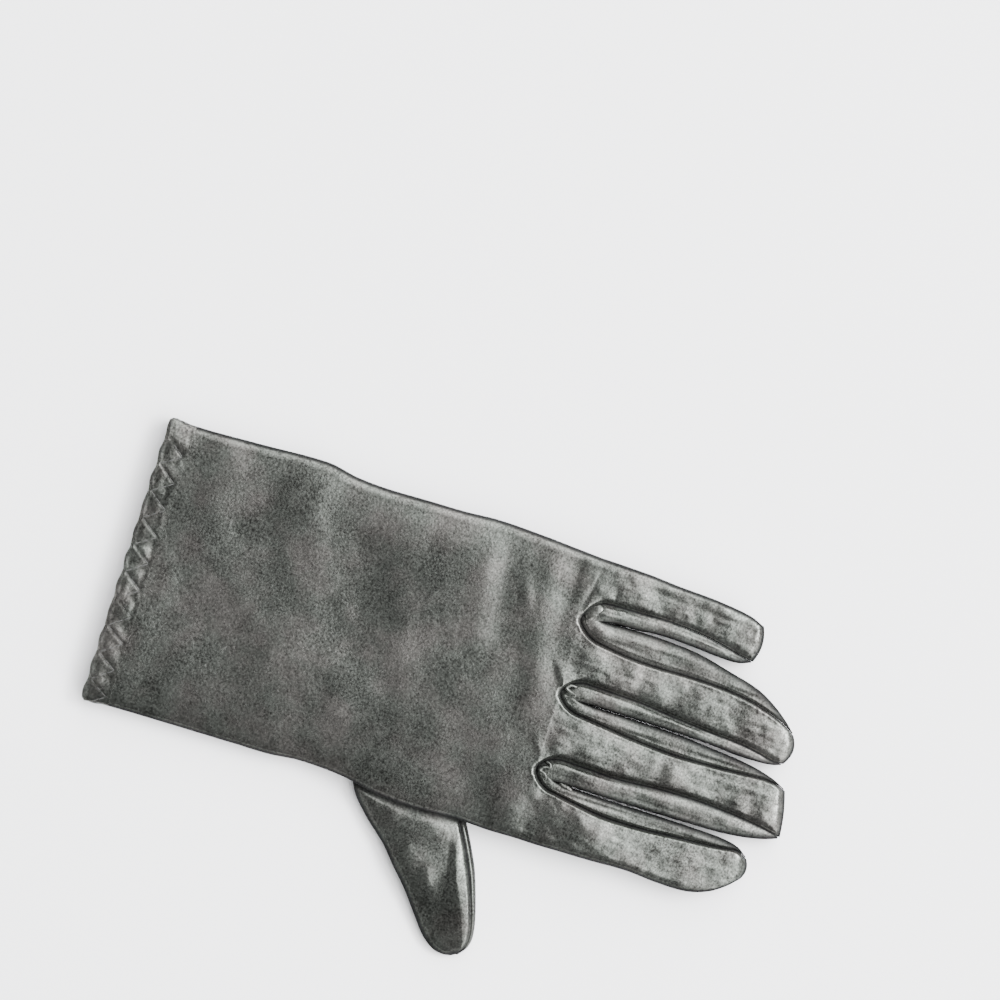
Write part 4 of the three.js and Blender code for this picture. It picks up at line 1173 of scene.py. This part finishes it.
FLOOR_COLOUR = (0.95, 0.95, 0.95, 1)
FLOOR_HEIGHT = -0.0002
LAMP_COLOUR = (0.97, 0.965, 1)
SKY_COLOUR = (0.98, 0.985, 1, 1)
floor_material, _, floor_shader = new_material("floor")
floor_shader.inputs["Base Color"].default_value = FLOOR_COLOUR
floor_shader.inputs["Roughness"].default_value = 0.9
bpy.ops.mesh.primitive_plane_add(size=8, location=(0, 0, FLOOR_HEIGHT))
floor = bpy.context.object
floor.name = "floor"
floor.data.materials.append(floor_material)

# The picture is 320 mm wide at the glove, with its right-hand direction 17.8 degrees off the glove's length
CENTRE = Vector((-0.0545, 0.033, 0))
VIEW_WIDTH = 0.32
DISTANCE = 2.0
TURN = math.radians(17.8)
SENSOR = 36
right = Vector((-math.sin(TURN), math.cos(TURN), 0))
up = Vector((-math.cos(TURN), -math.sin(TURN), 0))
camera = bpy.data.objects.new("camera", bpy.data.cameras.new("camera"))
bpy.context.scene.collection.objects.link(camera)
camera.data.sensor_width = SENSOR
camera.data.lens = SENSOR * DISTANCE / VIEW_WIDTH
camera.data.clip_end = 20
axes = Matrix((right, up, right.cross(up))).transposed()
camera.matrix_world = Matrix.Translation(CENTRE + Vector((0, 0, DISTANCE))) @ axes.to_4x4()
bpy.context.scene.camera = camera


def softbox(name, place, size, power):
    """A soft lamp that is aimed at the middle of the picture."""
    lamp = bpy.data.lights.new(name, "AREA")
    lamp.shape = "RECTANGLE"
    lamp.size, lamp.size_y = size
    lamp.energy = power
    lamp.color = LAMP_COLOUR
    holder = bpy.data.objects.new(name, lamp)
    bpy.context.scene.collection.objects.link(holder)
    holder.location = place
    holder.rotation_mode = "QUATERNION"
    holder.rotation_quaternion = (place - CENTRE).to_track_quat("Z", "Y")


BRIGHT_SIDE = Vector((-0.49, 0.87, 0))
# The surroundings' light by how far a direction lies towards the bright side, and by its height
SIDE_LIGHT = ((-0.95, 2.2), (-0.5, 0.43), (-0.035, 0.43), (0.3, 9.5), (0.42, 9.5), (0.8, 3.4))
HEIGHT_LIGHT = ((-0.05, 0.25), (0.4, 1))


def light_level(tree, direction, vector, stops):
    """Light by how far a direction lies along a vector, smooth between stops."""
    aim = node(tree, "ShaderNodeVectorMath", operation="DOT_PRODUCT")
    aim.inputs[1].default_value = vector
    tree.links.new(direction, aim.inputs[0])
    total = None
    for (low, before), (high, after) in zip(stops, stops[1:]):
        if total is not None and before == after:
            continue
        start = before if total is None else 0
        bounds = {"From Min": low, "From Max": high, "To Min": start, "To Max": start + after - before}
        step = node(tree, "ShaderNodeMapRange", interpolation_type="SMOOTHSTEP", **bounds)
        tree.links.new(aim.outputs["Value"], step.inputs["Value"])
        if total is None:
            total = step.outputs["Result"]
            continue
        both = node(tree, "ShaderNodeMath", operation="ADD")
        tree.links.new(total, both.inputs[0])
        tree.links.new(step.outputs["Result"], both.inputs[1])
        total = both.outputs[0]
    return total


def studio_world():
    """Soft surroundings, bright on one side, dim overhead and low down, so that the cloth's folds show."""
    world = bpy.data.worlds.new("studio")
    world.use_nodes = True
    tree = world.node_tree
    direction = node(tree, "ShaderNodeTexCoord").outputs["Generated"]
    strength = node(tree, "ShaderNodeMath", operation="MULTIPLY")
    tree.links.new(light_level(tree, direction, BRIGHT_SIDE, SIDE_LIGHT), strength.inputs[0])
    tree.links.new(light_level(tree, direction, (0, 0, 1), HEIGHT_LIGHT), strength.inputs[1])
    background = tree.nodes["Background"]
    background.inputs["Color"].default_value = SKY_COLOUR
    tree.links.new(strength.outputs[0], background.inputs["Strength"])
    return world


softbox("window", CENTRE + Vector((-0.5, 0.95, 1.3)), (1.0, 0.5), 48)
bpy.context.scene.world = studio_world()
